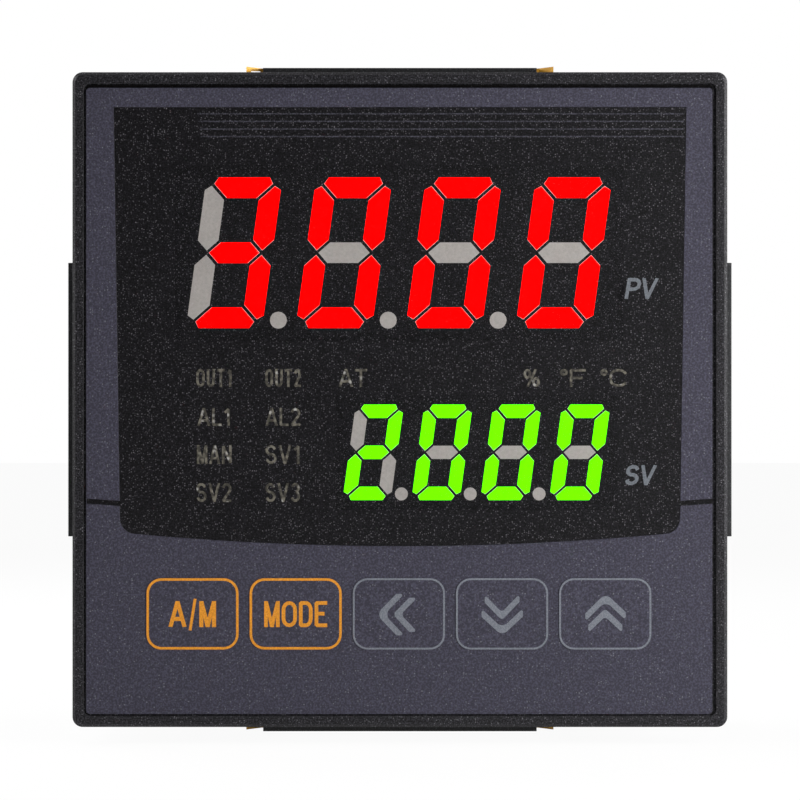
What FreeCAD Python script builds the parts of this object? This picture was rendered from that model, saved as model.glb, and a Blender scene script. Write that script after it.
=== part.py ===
import FreeCAD, Part
import math
import os
from types import SimpleNamespace

import Sketcher

# Panel-mounted temperature controller, 1/4-DIN. The origin is the centre of the plane where the
# gasket seats on the panel: +Y goes into the panel, +Z is up and the face looks along -Y.
# Lengths are in millimetres and angles in degrees.

SIZES = [
    # front bezel
    ("bezel_side", 96.0),
    ("bezel_deep", 5.0),
    ("bezel_corner", 1.5),
    ("bezel_edge", 0.45),
    ("frame_border", 1.65),
    ("recess_deep", 0.6),
    ("web_thick", 2.4),
    ("skirt_wall", 1.6),
    ("skirt_play", 0.15),
    ("skirt_end_play", 0.4),
    # gasket
    ("gasket_thick", 1.0),
    ("gasket_play", 0.2),
    ("gasket_border", 0.6),
    # snap hooks of the bezel
    ("hook_wide", 8.0),
    ("hook_reach", 8.0),
    ("hook_nose", 0.8),
    ("hook_nose_long", 2.4),
    ("hook_tip", 0.6),
    ("hook_play", 0.15),
    # printed film
    ("film_gap", 0.41),
    ("film_thick", 0.4),
    ("film_corner", 0.55),
    ("dome_gap", 1.62),
    ("dome_tall", 10.45),
    ("dome_corner", 2.2),
    ("dome_rise", 0.15),
    ("key_row_left", 8.8),
    ("key_row_right", 9.1),
    ("key_row_below", 9.315),
    # display window
    ("window_border_top", 3.14),
    ("window_border_side", 4.04),
    ("window_border_low", 4.99),
    ("window_key_gap", 4.775),
    ("window_bow", 2.0),
    ("window_corner", 2.3),
    ("window_thick", 0.9),
    ("window_play", 0.08),
    ("window_ledge", 1.4),
    ("window_ledge_top", 6.2),
    # process value digits, which fill the height that is left
    ("pv_middle_x", -0.13),
    ("pv_digit_wide", 11.14),
    ("pv_digit_gap", 4.98),
    ("pv_bar", 3.02),
    ("pv_bar_corner", 1.85),
    ("pv_bar_gap", 0.42),
    ("pv_dot", 2.5),
    ("pv_dot_gap", 1.015),
    ("pv_dot_rise", 1.15),
    ("pv_margin_side", 3.75),
    ("pv_margin_ends", 2.45),
    ("pv_gap_top", 1.55),
    ("pv_gap_low", 1.44),
    # set value digits
    ("sv_digit_wide", 7.06),
    ("sv_digit_tall", 14.0),
    ("sv_digit_gap", 3.04),
    ("sv_bar", 1.95),
    ("sv_bar_corner", 1.2),
    ("sv_bar_gap", 0.3),
    ("sv_dot", 1.92),
    ("sv_dot_gap", 0.475),
    ("sv_dot_rise", 0.9),
    ("sv_margin_side", 2.52),
    ("sv_margin_ends", 2.0),
    ("sv_gap_right", 7.11),
    ("sv_gap_low", 1.26),
    # both displays
    ("digit_slant", 7.8),
    ("bar_deep", 1.0),
    ("display_gap", 0.05),
    # light shield and indicator lamps
    ("shield_gap_left", 5.15),
    ("shield_gap", 0.15),
    ("shield_right_wall", 2.5),
    ("lamp_wall", 0.9),
    ("lamp_wall_low", 1.84),
    ("lamp_unit_pitch", 6.0),
    ("lamp_cell_wide", 5.0),
    ("lamp_cell_tall", 3.4),
    ("lamp_wide", 3.2),
    ("lamp_tall", 1.6),
    ("lamp_deep", 1.1),
    # keys
    ("key_border", 0.8),
    ("key_corner", 1.2),
    ("key_play", 0.2),
    ("key_film_gap", 0.05),
    ("key_flange_edge", 0.6),
    ("key_flange_thick", 0.8),
    ("key_flange_gap", 0.05),
    ("key_stem_side", 4.0),
    ("key_stem_long", 0.3),
    # tactile switches
    ("switch_side", 6.0),
    ("switch_tall", 3.5),
    ("plunger_diameter", 3.4),
    ("plunger_proud", 0.65),
    ("plunger_long", 1.7),
    ("plunger_play", 0.2),
    ("plunger_well", 2.0),
    # display board
    ("board_play", 0.55),
    ("board_thick", 1.2),
    ("boss_border", 2.2),
    ("boss_diameter", 4.0),
    ("screw_core", 1.9),
    ("screw_bite", 4.0),
    ("screw_hole_play", 0.25),
    ("screw_head_diameter", 4.0),
    ("screw_head_tall", 1.6),
    # case
    ("bezel_overlap", 2.25),
    ("case_back", 62.0),
    ("case_wall", 2.0),
    ("case_corner", 1.0),
    ("channel_front", 3.0),
    ("channel_mouth", 17.0),
    ("channel_undercut", 2.0),
    ("channel_lip", 1.2),
    ("channel_deep", 2.6),
    ("channel_floor", 1.6),
    ("channel_side", 2.0),
    ("rack_front", 7.0),
    ("rack_pitch", 2.5),
    ("rack_end", 5.0),
    ("rack_tall", 0.7),
    ("rack_root", 0.09),
    ("rack_wide", 15.0),
    ("vent_long", 15.0),
    ("vent_wide", 2.0),
    ("vent_pitch", 4.2),
    ("vent_front", 22.0),
    ("grille_wide", 30.0),
    ("grille_slot", 2.0),
    ("grille_pitch", 5.0),
    # terminal blocks
    ("terminal_side_gap", 2.55),
    ("terminal_end_gap", 1.0),
    ("terminal_wide", 16.0),
    ("terminal_end_wall", 1.6),
    ("terminal_flange", 0.8),
    ("terminal_flange_thick", 8.0),
    ("terminal_proud", 2.5),
    ("terminal_play", 0.1),
    ("barrier_thick", 1.2),
    ("cell_wide", 12.8),
    ("cell_deep", 6.0),
    ("plate_thick", 0.8),
    ("plate_play", 0.1),
    ("terminal_screw", 3.0),
    ("terminal_screw_long", 5.0),
    ("terminal_head_play", 0.2),
    ("terminal_head_tall", 1.9),
    # clamp brackets
    ("bracket_front", 8.0),
    ("bracket_long", 25.0),
    ("bracket_overlap", 3.35),
    ("bracket_lift", 0.3),
    ("bracket_plate", 2.0),
    ("bracket_play", 0.25),
    ("tongue_float", 0.15),
    ("tongue_setback", 3.0),
    ("tongue_play", 2.5),
    ("rack_clearance", 0.5),
    ("clamp_wall", 1.8),
    ("clamp_deep", 3.6),
    ("clamp_rise", 1.3),
    ("slot_floor", 0.4),
    ("grip_rise", 2.3),
    ("grip_long", 4.5),
    ("grip_ramp", 3.0),
    ("rib_wide", 1.6),
    ("rib_rise", 0.8),
    ("rib_border", 3.35),
    ("pawl_wide", 10.0),
    ("pawl_slit", 1.0),
    ("pawl_border_front", 1.4),
    ("pawl_border_back", 2.5),
    ("pawl_tooth", 0.35),
    # leaf springs
    ("leaf_wing", 2.5),
    ("leaf_thick", 0.4),
    ("leaf_play", 0.05),
    ("leaf_tall", 2.2),
    ("leaf_bend", 0.45),
    ("leaf_forward", 1.7),
    ("leaf_slope", 0.2),
    ("leaf_rim_top", 0.4),
    ("leaf_rim_end", 0.7),
    ("leaf_lift_top", 0.9),
    ("leaf_lift_bottom", 0.45),
    ("leaf_lift_sides", 0.0),
    # inner boards and what stands on them
    ("side_board_place", 29.4),
    ("side_board_thick", 1.6),
    ("side_board_border", 6.75),
    ("side_board_gap", 0.1),
    ("connector_deep", 6.0),
    ("connector_wide", 6.0),
    ("connector_tall", 30.0),
    ("chip_side", 10.0),
    ("chip_thick", 1.4),
    ("chip_x", 5.0),
    ("chip_z", 12.0),
    ("transformer_front", 14.0),
    ("transformer_deep", 30.0),
    ("transformer_wide", 22.0),
    ("transformer_tall", 25.0),
    ("transformer_z", -16.0),
    ("core_limb", 5.0),
    ("winding_play", 0.2),
    ("winding_proud", 3.0),
    ("relay_wide", 15.0),
    ("relay_deep", 10.0),
    ("relay_tall", 19.0),
    ("relay_pitch", 24.0),
    ("relay_front", 32.0),
    ("capacitor_diameter", 12.5),
    ("capacitor_long", 20.0),
    ("capacitor_front", 18.0),
    ("capacitor_z", 14.0),
    ("capacitor_pitch", 16.0),
]

KEY_NAMES = ["auto_manual", "mode", "shift", "down", "up"]
SIDES = [("top", 0), ("right", 90), ("bottom", 180), ("left", 270)]
TERMINALS = 12
VENTS = 7
GRILLE_SLOTS = 7
LAMP_ROWS = 3
RELAYS = 3
CAPACITORS = 2

# Small round pieces are drawn with this many sides.
ROUND_SIDES = 12
HEAD_SIDES = 10
SHANK_SIDES = 6
DOT_SIDES = 16

doc = FreeCAD.newDocument("Temperature_controller")
sheet = doc.addObject("Spreadsheet::Sheet", "Sizes")
for row, (alias, number) in enumerate(SIZES, start=1):
    sheet.set(f"A{row}", alias)
    sheet.set(f"B{row}", str(number))
    sheet.setAlias(f"B{row}", alias)
doc.recompute()


class Sized:
    """A number kept together with the spreadsheet formula that gives it."""

    def __init__(self, formula, number):
        self.formula = formula
        self.number = number

    def __add__(self, other):
        return Sized(f"({self.formula} + {formula_of(other)})", self.number + number_of(other))

    def __sub__(self, other):
        return Sized(f"({self.formula} - {formula_of(other)})", self.number - number_of(other))

    def __mul__(self, other):
        return Sized(f"({self.formula} * {formula_of(other)})", self.number * number_of(other))

    def __truediv__(self, other):
        return Sized(f"({self.formula} / {formula_of(other)})", self.number / number_of(other))

    def __radd__(self, other):
        return Sized(f"({other} + {self.formula})", other + self.number)

    def __rsub__(self, other):
        return Sized(f"({other} - {self.formula})", other - self.number)

    def __rmul__(self, other):
        return Sized(f"({other} * {self.formula})", other * self.number)

    def __neg__(self):
        return Sized(f"(0 - {self.formula})", -self.number)


def formula_of(value):
    return value.formula if isinstance(value, Sized) else str(value)


def number_of(value):
    return value.number if isinstance(value, Sized) else float(value)


size = SimpleNamespace(**{alias: Sized(f"Sizes.{alias}", sheet.get(alias)) for alias, _ in SIZES})
nodes = []


def bind(thing, prop, value):
    """Sets a property from the spreadsheet."""
    thing.setExpression(prop, formula_of(value))


# Places that several pieces share.

bezel_half = size.bezel_side / 2
bezel_front = -(size.bezel_deep + size.gasket_thick)
bezel_back = -size.gasket_thick
web_front = bezel_front + size.recess_deep
web_back = web_front + size.web_thick
film_half = bezel_half - size.frame_border - size.film_gap
film_front = web_front - size.film_thick
window_back = film_front + size.window_thick
display_front = window_back + size.display_gap

# Keys: they share the film's width, and their stems set how far back the display board stands.
key_row_wide = 2 * film_half - size.key_row_left - size.key_row_right
key_pitch = (key_row_wide + size.dome_gap) / len(KEY_NAMES)
dome_wide = key_pitch - size.dome_gap
key_row_z = size.key_row_below + size.dome_tall / 2 - film_half
key_wide = dome_wide - 2 * size.key_border
key_tall = size.dome_tall - 2 * size.key_border
flange_front = web_back + size.key_flange_gap
flange_back = flange_front + size.key_flange_thick
plunger_front = flange_back + size.key_stem_long
switch_front = plunger_front + size.plunger_proud
board_front = switch_front + size.switch_tall
board_back = board_front + size.board_thick

# Window, and behind it from the bottom up: set value, row of lamps, process value.
window_half_top = film_half - size.window_border_side
window_half_low = film_half - size.window_border_low
window_top = film_half - size.window_border_top
window_low = key_row_z + size.dome_tall / 2 + size.window_key_gap + size.window_bow
opening_half = window_half_low - size.window_ledge
sv_wide = 4 * size.sv_digit_wide + 3 * size.sv_digit_gap + 2 * size.sv_margin_side
sv_right = opening_half - size.sv_gap_right
sv_left = sv_right - sv_wide
sv_low = window_low + size.window_ledge + size.sv_gap_low
sv_top = sv_low + size.sv_digit_tall + 2 * size.sv_margin_ends
shield_left = size.shield_gap_left - opening_half
shield_right = sv_right + size.shield_right_wall
lamp_row_top = sv_top + size.shield_gap + size.lamp_wall + size.lamp_cell_tall / 2
shield_top = lamp_row_top + size.lamp_cell_tall / 2 + size.lamp_wall
pv_low = shield_top + size.pv_gap_low
pv_top = window_top - size.window_ledge_top - size.pv_gap_top
pv_digit_tall = pv_top - pv_low - 2 * size.pv_margin_ends

# Case, from its outer faces inwards.
case_half = bezel_half - size.bezel_overlap
case_inner = case_half - size.case_wall
channel_floor = case_half - size.channel_deep
channel_half = size.channel_mouth + size.channel_undercut
cavity_floor = channel_floor - size.channel_floor
cavity_front = size.channel_front - size.channel_floor
cavity_half = channel_half + size.channel_side
wall_middle = (cavity_half + case_inner) / 2
skirt_outer = case_inner - size.skirt_play
skirt_inner = skirt_outer - size.skirt_wall
skirt_end = cavity_front - size.skirt_end_play
hook_end = skirt_end + size.hook_reach
board_half = cavity_floor - size.board_play
boss_place = board_half - size.boss_border
rear_wall_front = size.case_back - size.case_wall
terminal_back = size.case_back + size.terminal_proud
cell_floor = terminal_back - size.cell_deep
terminal_front = rear_wall_front - size.terminal_flange_thick
terminal_place = (
    case_inner - size.terminal_side_gap - size.terminal_flange - size.terminal_wide / 2
)
terminal_half_tall = case_inner - size.terminal_end_gap
terminal_pitch = 2 * (terminal_half_tall - size.terminal_end_wall) / TERMINALS
cell_tall = terminal_pitch - size.barrier_thick
bracket_half = size.channel_mouth + size.bracket_overlap


# How the pieces are drawn and built.


def new_body(label):
    body = doc.addObject("PartDesign::Body", label)
    body.Label = label
    nodes.append(body)
    return body


def origin_part(body, role):
    return [part for part in body.Origin.OriginFeatures if part.Role == role][0]


def new_sketch(body, plane, offset=0):
    """An empty sketch on the body's own XZ, XY or YZ plane, at that offset along Y, Z or X."""
    sketch = body.newObject("Sketcher::SketchObject", f"{body.Label}_sketch")
    sketch.AttachmentSupport = [(origin_part(body, f"{plane}_Plane"), "")]
    sketch.MapMode = "FlatFace"
    bind(sketch, "AttachmentOffset.Base.z", -offset if plane == "XZ" else offset)
    return sketch


def hold(sketch, kind, geometry, point, value):
    """Holds one coordinate of a point, from the spreadsheet where it comes from there."""
    number = number_of(value)
    place = sketch.addConstraint(Sketcher.Constraint(kind, geometry, point, number))
    if isinstance(value, Sized):
        sketch.setExpression(f"Constraints[{place}]", value.formula)


def draw_outline(sketch, corners):
    """A closed outline of straight sides through these corners."""
    first = sketch.GeometryCount
    count = len(corners)
    spots = [FreeCAD.Vector(number_of(u), number_of(v), 0) for u, v in corners]
    for place in range(count):
        sketch.addGeometry(Part.LineSegment(spots[place], spots[(place + 1) % count]))
    for place in range(count):
        following = first + (place + 1) % count
        sketch.addConstraint(Sketcher.Constraint("Coincident", first + place, 2, following, 1))
    for place, (u, v) in enumerate(corners):
        hold(sketch, "DistanceX", first + place, 1, u)
        hold(sketch, "DistanceY", first + place, 1, v)


def draw_rectangle(sketch, left, low, right, high):
    draw_outline(sketch, [(left, low), (right, low), (right, high), (left, high)])


def draw_box_outline(sketch, u, v, wide, tall):
    """A rectangle about its middle."""
    draw_rectangle(sketch, u - wide / 2, v - tall / 2, u + wide / 2, v + tall / 2)


def draw_square(sketch, half):
    draw_rectangle(sketch, -half, -half, half, half)


def draw_polygon(sketch, u, v, diameter, sides):
    """A small round outline, drawn as a regular polygon."""
    corners = []
    for place in range(sides):
        angle = 2 * math.pi * place / sides
        across = round(math.cos(angle) / 2, 6)
        up = round(math.sin(angle) / 2, 6)
        corners.append((u + across * diameter, v + up * diameter))
    draw_outline(sketch, corners)


def pad(body, sketch, length, backwards=False, midplane=False):
    """Adds material. From an XZ sketch it grows towards +Y, else towards the plane's normal."""
    feature = body.newObject("PartDesign::Pad", f"{body.Label}_pad")
    feature.Profile = sketch
    on_front = sketch.AttachmentSupport[0][0].Role == "XZ_Plane"
    feature.Reversed = on_front != backwards
    feature.Midplane = midplane
    bind(feature, "Length", length)
    return finished(body, feature)


def pocket(body, sketch, length=None, backwards=False, midplane=False):
    """Cuts material. From an XZ sketch it cuts towards +Y, else against the plane's normal."""
    feature = body.newObject("PartDesign::Pocket", f"{body.Label}_pocket")
    feature.Profile = sketch
    feature.Reversed = backwards
    feature.Midplane = midplane
    if length is None:
        feature.Type = "ThroughAll"
    else:
        bind(feature, "Length", length)
    return finished(body, feature)


def finished(body, feature):
    body.Tip = feature
    doc.recompute()
    return feature


def round_edges(body, chosen, radius, kind="Fillet"):
    """Rounds or chamfers the edges of the body's last feature that the test picks."""
    tip = body.Tip
    names = [f"Edge{place}" for place, edge in enumerate(tip.Shape.Edges, 1) if chosen(edge)]
    feature = body.newObject(f"PartDesign::{kind}", f"{body.Label}_{kind.lower()}")
    feature.Base = (tip, names)
    bind(feature, "Radius" if kind == "Fillet" else "Size", radius)
    return finished(body, feature)


def row_pattern(body, features, axis, step, copies):
    """Repeats features in a row."""
    pattern = body.newObject("PartDesign::LinearPattern", f"{body.Label}_row")
    pattern.Originals = features
    pattern.Direction = (origin_part(body, f"{axis}_Axis"), [""])
    bind(pattern, "Length", step * (copies - 1))
    pattern.Occurrences = copies
    return finished(body, pattern)


def turn_pattern(body, features, copies):
    """Repeats features round the Y axis."""
    pattern = body.newObject("PartDesign::PolarPattern", f"{body.Label}_turns")
    pattern.Originals = features
    pattern.Axis = (origin_part(body, "Y_Axis"), [""])
    pattern.Angle = 360
    pattern.Occurrences = copies
    return finished(body, pattern)


def runs_along(edge, axis):
    """Whether an edge is straight and runs along that axis."""
    first, last = edge.Vertexes[0].Point, edge.Vertexes[-1].Point
    run = last - first
    return edge.Length > 1e-6 and abs(abs(getattr(run, axis)) - edge.Length) < 1e-6


def new_block(name, left, front, low, wide, deep, tall):
    block = doc.addObject("Part::Box", name)
    for prop, value in (("Length", wide), ("Width", deep), ("Height", tall)):
        bind(block, prop, value)
    for letter, value in (("x", left), ("y", front), ("z", low)):
        bind(block, f"Placement.Base.{letter}", value)
    return block


def new_rod(name, x, y, z, diameter, long, sides, along="y"):
    """A round rod, drawn as a prism, that starts at this point and runs along +Y or +X."""
    rod = doc.addObject("Part::Prism", name)
    rod.Polygon = sides
    bind(rod, "Circumradius", diameter / 2)
    bind(rod, "Height", long)
    axis = FreeCAD.Vector(1, 0, 0) if along == "y" else FreeCAD.Vector(0, 1, 0)
    rod.Placement = FreeCAD.Placement(
        FreeCAD.Vector(), FreeCAD.Rotation(axis, -90 if along == "y" else 90)
    )
    for letter, value in (("x", x), ("y", y), ("z", z)):
        bind(rod, f"Placement.Base.{letter}", value)
    return rod


def new_pair(kind, name, base, tool):
    """A cut or a fusion of two Part objects that is itself only a step."""
    pair = doc.addObject(f"Part::{kind}", name)
    pair.Base = base
    pair.Tool = tool
    return pair


def new_node(kind, label, **links):
    """A sub-part made of Part objects."""
    node = doc.addObject(f"Part::{kind}", label)
    node.Label = label
    for prop, value in links.items():
        setattr(node, prop, value)
    nodes.append(node)
    doc.recompute()
    return node


# Window outline: straight sides that lean in downwards, and a lower edge that bows out.


def draw_window(sketch, grow, lower_top=0):
    top = window_top + grow - lower_top
    half_top = window_half_top + grow
    half_low = window_half_low + grow
    low = window_low - grow
    corners = [(half_low, low), (half_top, top), (-half_top, top), (-half_low, low)]
    spots = [FreeCAD.Vector(number_of(u), number_of(v), 0) for u, v in corners]
    first = sketch.GeometryCount
    for start, end in zip(spots, spots[1:]):
        sketch.addGeometry(Part.LineSegment(start, end))
    lowest = FreeCAD.Vector(0, number_of(low - size.window_bow), 0)
    sketch.addGeometry(Part.Arc(spots[3], lowest, spots[0]))
    for place in range(2):
        join = Sketcher.Constraint("Coincident", first + place, 2, first + place + 1, 1)
        sketch.addConstraint(join)
    sketch.addConstraint(Sketcher.Constraint("Coincident", first + 2, 2, first + 3, 1))
    sketch.addConstraint(Sketcher.Constraint("Coincident", first + 3, 2, first, 1))
    for place in range(3):
        hold(sketch, "DistanceX", first + place, 1, corners[place][0])
        hold(sketch, "DistanceY", first + place, 1, corners[place][1])
    hold(sketch, "DistanceX", first + 2, 2, corners[3][0])
    hold(sketch, "DistanceY", first + 2, 2, corners[3][1])
    bow_radius = (half_low * half_low + size.window_bow * size.window_bow) / (2 * size.window_bow)
    held = sketch.addConstraint(Sketcher.Constraint("Radius", first + 3, number_of(bow_radius)))
    sketch.setExpression(f"Constraints[{held}]", bow_radius.formula)


def is_low_window_corner(edge, grow=0):
    """Whether an edge is one of the window outline's two lower corners."""
    point = edge.Vertexes[0].Point
    low = number_of(window_low - grow)
    half = number_of(window_half_low + grow)
    return runs_along(edge, "y") and abs(point.z - low) < 1e-4 and abs(abs(point.x) - half) < 1e-4


def key_spot(place):
    return size.key_row_left + dome_wide / 2 + place * key_pitch - film_half


# Front bezel: one black moulding. Its rim seats on the gasket, its web carries the film and
# window in front and the display board behind, and its skirt and four hooks hold the case.


def make_bezel():
    body = new_body("front_bezel")
    rim = new_sketch(body, "XZ", bezel_front)
    draw_square(rim, bezel_half)
    pad(body, rim, size.bezel_deep)
    round_edges(body, lambda edge: runs_along(edge, "y"), size.bezel_corner)
    front = number_of(bezel_front)
    round_edges(
        body,
        lambda edge: all(abs(corner.Point.y - front) < 1e-6 for corner in edge.Vertexes),
        size.bezel_edge,
        "Chamfer",
    )
    recess = new_sketch(body, "XZ", bezel_front)
    recess_half = bezel_half - size.frame_border
    draw_square(recess, recess_half)
    pocket(body, recess, size.recess_deep)
    reach = number_of(recess_half)
    round_edges(
        body,
        lambda edge: runs_along(edge, "y") and abs(abs(edge.Vertexes[0].Point.x) - reach) < 1e-6,
        size.film_corner + size.film_gap,
    )
    hollow = new_sketch(body, "XZ", web_back)
    draw_square(hollow, skirt_inner)
    pocket(body, hollow)
    seat = new_sketch(body, "XZ", web_front)
    draw_window(seat, size.window_play)
    pocket(body, seat, window_back - web_front)
    round_edges(
        body, lambda edge: is_low_window_corner(edge, size.window_play), size.window_corner
    )
    opening = new_sketch(body, "XZ", window_back)
    draw_window(opening, -size.window_ledge, size.window_ledge_top - size.window_ledge)
    pocket(body, opening, web_back - window_back)
    keyholes = new_sketch(body, "XZ", web_front)
    for place in range(len(KEY_NAMES)):
        draw_box_outline(
            keyholes,
            key_spot(place),
            key_row_z,
            key_wide + 2 * size.key_play,
            key_tall + 2 * size.key_play,
        )
    pocket(body, keyholes, size.web_thick)
    keyhole_heights = [
        number_of(key_row_z + sign * (key_tall / 2 + size.key_play)) for sign in (-1, 1)
    ]
    round_edges(
        body,
        lambda edge: runs_along(edge, "y")
        and min(abs(edge.Vertexes[0].Point.z - height) for height in keyhole_heights) < 1e-6,
        size.key_corner,
        "Chamfer",
    )
    skirt = new_sketch(body, "XZ", bezel_back)
    draw_square(skirt, skirt_outer)
    draw_square(skirt, skirt_inner)
    pad(body, skirt, skirt_end - bezel_back)
    add_hooks(body)
    add_bosses(body)


def add_hooks(body):
    """Four snap hooks, two at the top and two at the bottom of the skirt."""
    arms = new_sketch(body, "XZ", skirt_end)
    middle = (skirt_outer + skirt_inner) / 2
    for across in (-wall_middle, wall_middle):
        for height in (-middle, middle):
            draw_box_outline(arms, across, height, size.hook_wide, size.skirt_wall)
    pad(body, arms, size.hook_reach)
    heel = hook_end - size.hook_tip - size.hook_nose_long
    nose = size.hook_nose + size.skirt_play
    for across in (-wall_middle, wall_middle):
        noses = new_sketch(body, "YZ", across)
        for way in (-1, 1):
            draw_outline(
                noses,
                [
                    (heel, way * skirt_outer),
                    (heel, way * (skirt_outer + nose)),
                    (hook_end - size.hook_tip, way * skirt_outer),
                ],
            )
        pad(body, noses, size.hook_wide, midplane=True)


def add_bosses(body):
    """Four bosses with screw holes for the display board."""
    bosses = new_sketch(body, "XZ", web_back)
    holes = new_sketch(body, "XZ", board_front)
    for across in (-boss_place, boss_place):
        for height in (-boss_place, boss_place):
            draw_polygon(bosses, across, height, size.boss_diameter, HEAD_SIDES)
            draw_polygon(holes, across, height, size.screw_core, SHANK_SIDES)
    pad(body, bosses, board_front - web_back)
    pocket(body, holes, size.screw_bite, backwards=True)


# Printed film: one sheet with the window cut out and a raised dome over each key.


def make_film():
    body = new_body("front_film")
    sheet_outline = new_sketch(body, "XZ", film_front)
    draw_square(sheet_outline, film_half)
    pad(body, sheet_outline, size.film_thick)
    round_edges(body, lambda edge: runs_along(edge, "y"), size.film_corner)
    window = new_sketch(body, "XZ", film_front)
    draw_window(window, size.window_play)
    pocket(body, window)
    round_edges(
        body, lambda edge: is_low_window_corner(edge, size.window_play), size.window_corner
    )
    domes = new_sketch(body, "XZ", film_front - size.dome_rise)
    for place in range(len(KEY_NAMES)):
        draw_box_outline(domes, key_spot(place), key_row_z, dome_wide, size.dome_tall)
    pad(body, domes, size.dome_rise)
    front = number_of(film_front)
    round_edges(
        body,
        lambda edge: runs_along(edge, "y")
        and min(corner.Point.y for corner in edge.Vertexes) < front - 1e-6,
        size.dome_corner,
    )


def make_window():
    body = new_body("display_window")
    outline = new_sketch(body, "XZ", film_front)
    draw_window(outline, 0)
    pad(body, outline, size.window_thick)
    round_edges(body, is_low_window_corner, size.window_corner)


# Digits: seven flat bars with mitred ends and cut corners, leaning to the right.


def bar_outlines(wide, tall, bar, corner, gap):
    """The seven bars of an upright digit about its middle, by their usual letters."""
    half_w = wide / 2
    half_h = tall / 2
    step = gap / 2 * math.sqrt(2)
    cut = corner / 2
    top = [
        (-half_w + cut + step, half_h - cut),
        (-half_w + corner, half_h),
        (half_w - corner, half_h),
        (half_w - cut - step, half_h - cut),
        (half_w - bar - step, half_h - bar),
        (-half_w + bar + step, half_h - bar),
    ]
    upper_left = [
        (-half_w, half_h - corner),
        (-half_w + cut, half_h - cut - step),
        (-half_w + bar, half_h - bar - step),
        (-half_w + bar, bar / 2 + step),
        (-half_w + bar / 2, step),
        (-half_w, bar / 2 + step),
    ]
    middle = [
        (-half_w + bar / 2 + step, 0),
        (-half_w + bar + step, bar / 2),
        (half_w - bar - step, bar / 2),
        (half_w - bar / 2 - step, 0),
        (half_w - bar - step, -bar / 2),
        (-half_w + bar + step, -bar / 2),
    ]
    return {
        "a": top,
        "f": upper_left,
        "b": [(-u, v) for u, v in upper_left],
        "e": [(u, -v) for u, v in upper_left],
        "c": [(-u, -v) for u, v in upper_left],
        "d": [(u, -v) for u, v in top],
        "g": middle,
    }


LIT_BARS = {"0": "abcdef", "2": "abged", "3": "abgcd"}


def make_display(name, reading, middle_x, low, digit_tall):
    """A black reflector block whose cells are filled by the bars and dots of four digits."""
    given = {
        alias[len(name) + 1 :]: number_of(value)
        for alias, value in vars(size).items()
        if alias.startswith(f"{name}_")
    }
    tall = number_of(digit_tall)
    middle_z = number_of(low) + given["margin_ends"] + tall / 2
    pitch = given["digit_wide"] + given["digit_gap"]
    lean = math.tan(math.radians(number_of(size.digit_slant)))
    front = number_of(display_front)
    deep = number_of(size.bar_deep)
    outlines = bar_outlines(
        given["digit_wide"], tall, given["bar"], given["bar_corner"], given["bar_gap"]
    )
    dot_z = given["dot_rise"] - tall / 2
    dot_x = given["digit_wide"] / 2 + lean * dot_z + given["dot_gap"] + given["dot"] / 2
    lit = []
    unlit = []
    for place, figure in enumerate(reading):
        across = number_of(middle_x) + (place - (len(reading) - 1) / 2) * pitch
        for letter, outline in outlines.items():
            corners = [(across + u + lean * v, middle_z + v) for u, v in outline]
            bar = flat_piece(corners, front, deep)
            (lit if letter in LIT_BARS[figure] else unlit).append(bar)
        if place < len(reading) - 1:
            angles = [2 * math.pi * turn / DOT_SIDES for turn in range(DOT_SIDES)]
            corners = [
                (
                    across + dot_x + math.cos(angle) * given["dot"] / 2,
                    middle_z + dot_z + math.sin(angle) * given["dot"] / 2,
                )
                for angle in angles
            ]
            unlit.append(flat_piece(corners, front, deep))
    add_shape(f"{name}_bars_lit", Part.makeCompound(lit))
    add_shape(f"{name}_bars_unlit", Part.makeCompound(unlit))
    wide = (len(reading) - 1) * pitch + given["digit_wide"] + 2 * given["margin_side"]
    block = Part.makeBox(
        wide,
        number_of(board_front) - front,
        tall + 2 * given["margin_ends"],
        FreeCAD.Vector(number_of(middle_x) - wide / 2, front, number_of(low)),
    )
    add_shape(f"{name}_display", block.cut(lit + unlit))


def flat_piece(corners, front, deep):
    """A flat piece with this outline and depth."""
    points = [FreeCAD.Vector(across, front, height) for across, height in corners]
    face = Part.Face(Part.makePolygon(points + points[:1]))
    return face.extrude(FreeCAD.Vector(0, deep, 0))


def add_shape(label, shape):
    feature = doc.addObject("Part::Feature", label)
    feature.Label = label
    feature.Shape = shape
    nodes.append(feature)


# Light shield: an L-shaped moulding beside and above the set value display, with a cell that
# runs from each small lamp on the board to the window.


def lamp_spots():
    """Six lamps in a row above the set value, and two columns of three beside it."""
    wide = size.lamp_cell_wide
    between = (sv_left - size.shield_gap - shield_left - 2 * wide) / 3
    column_1 = shield_left + between + wide / 2
    column_2 = column_1 + wide + between
    tuning = column_2 + wide + between
    celsius = shield_right - size.lamp_wall - wide / 2
    fahrenheit = celsius - size.lamp_unit_pitch
    percent = fahrenheit - size.lamp_unit_pitch
    row = (column_1, column_2, tuning, percent, fahrenheit, celsius)
    spots = [(across, lamp_row_top) for across in row]
    lowest = sv_low + size.lamp_wall_low + size.lamp_cell_tall / 2
    step = (lamp_row_top - lowest) / LAMP_ROWS
    for place in range(LAMP_ROWS):
        height = lowest + place * step
        spots.extend([(column_1, height), (column_2, height)])
    return spots


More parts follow.
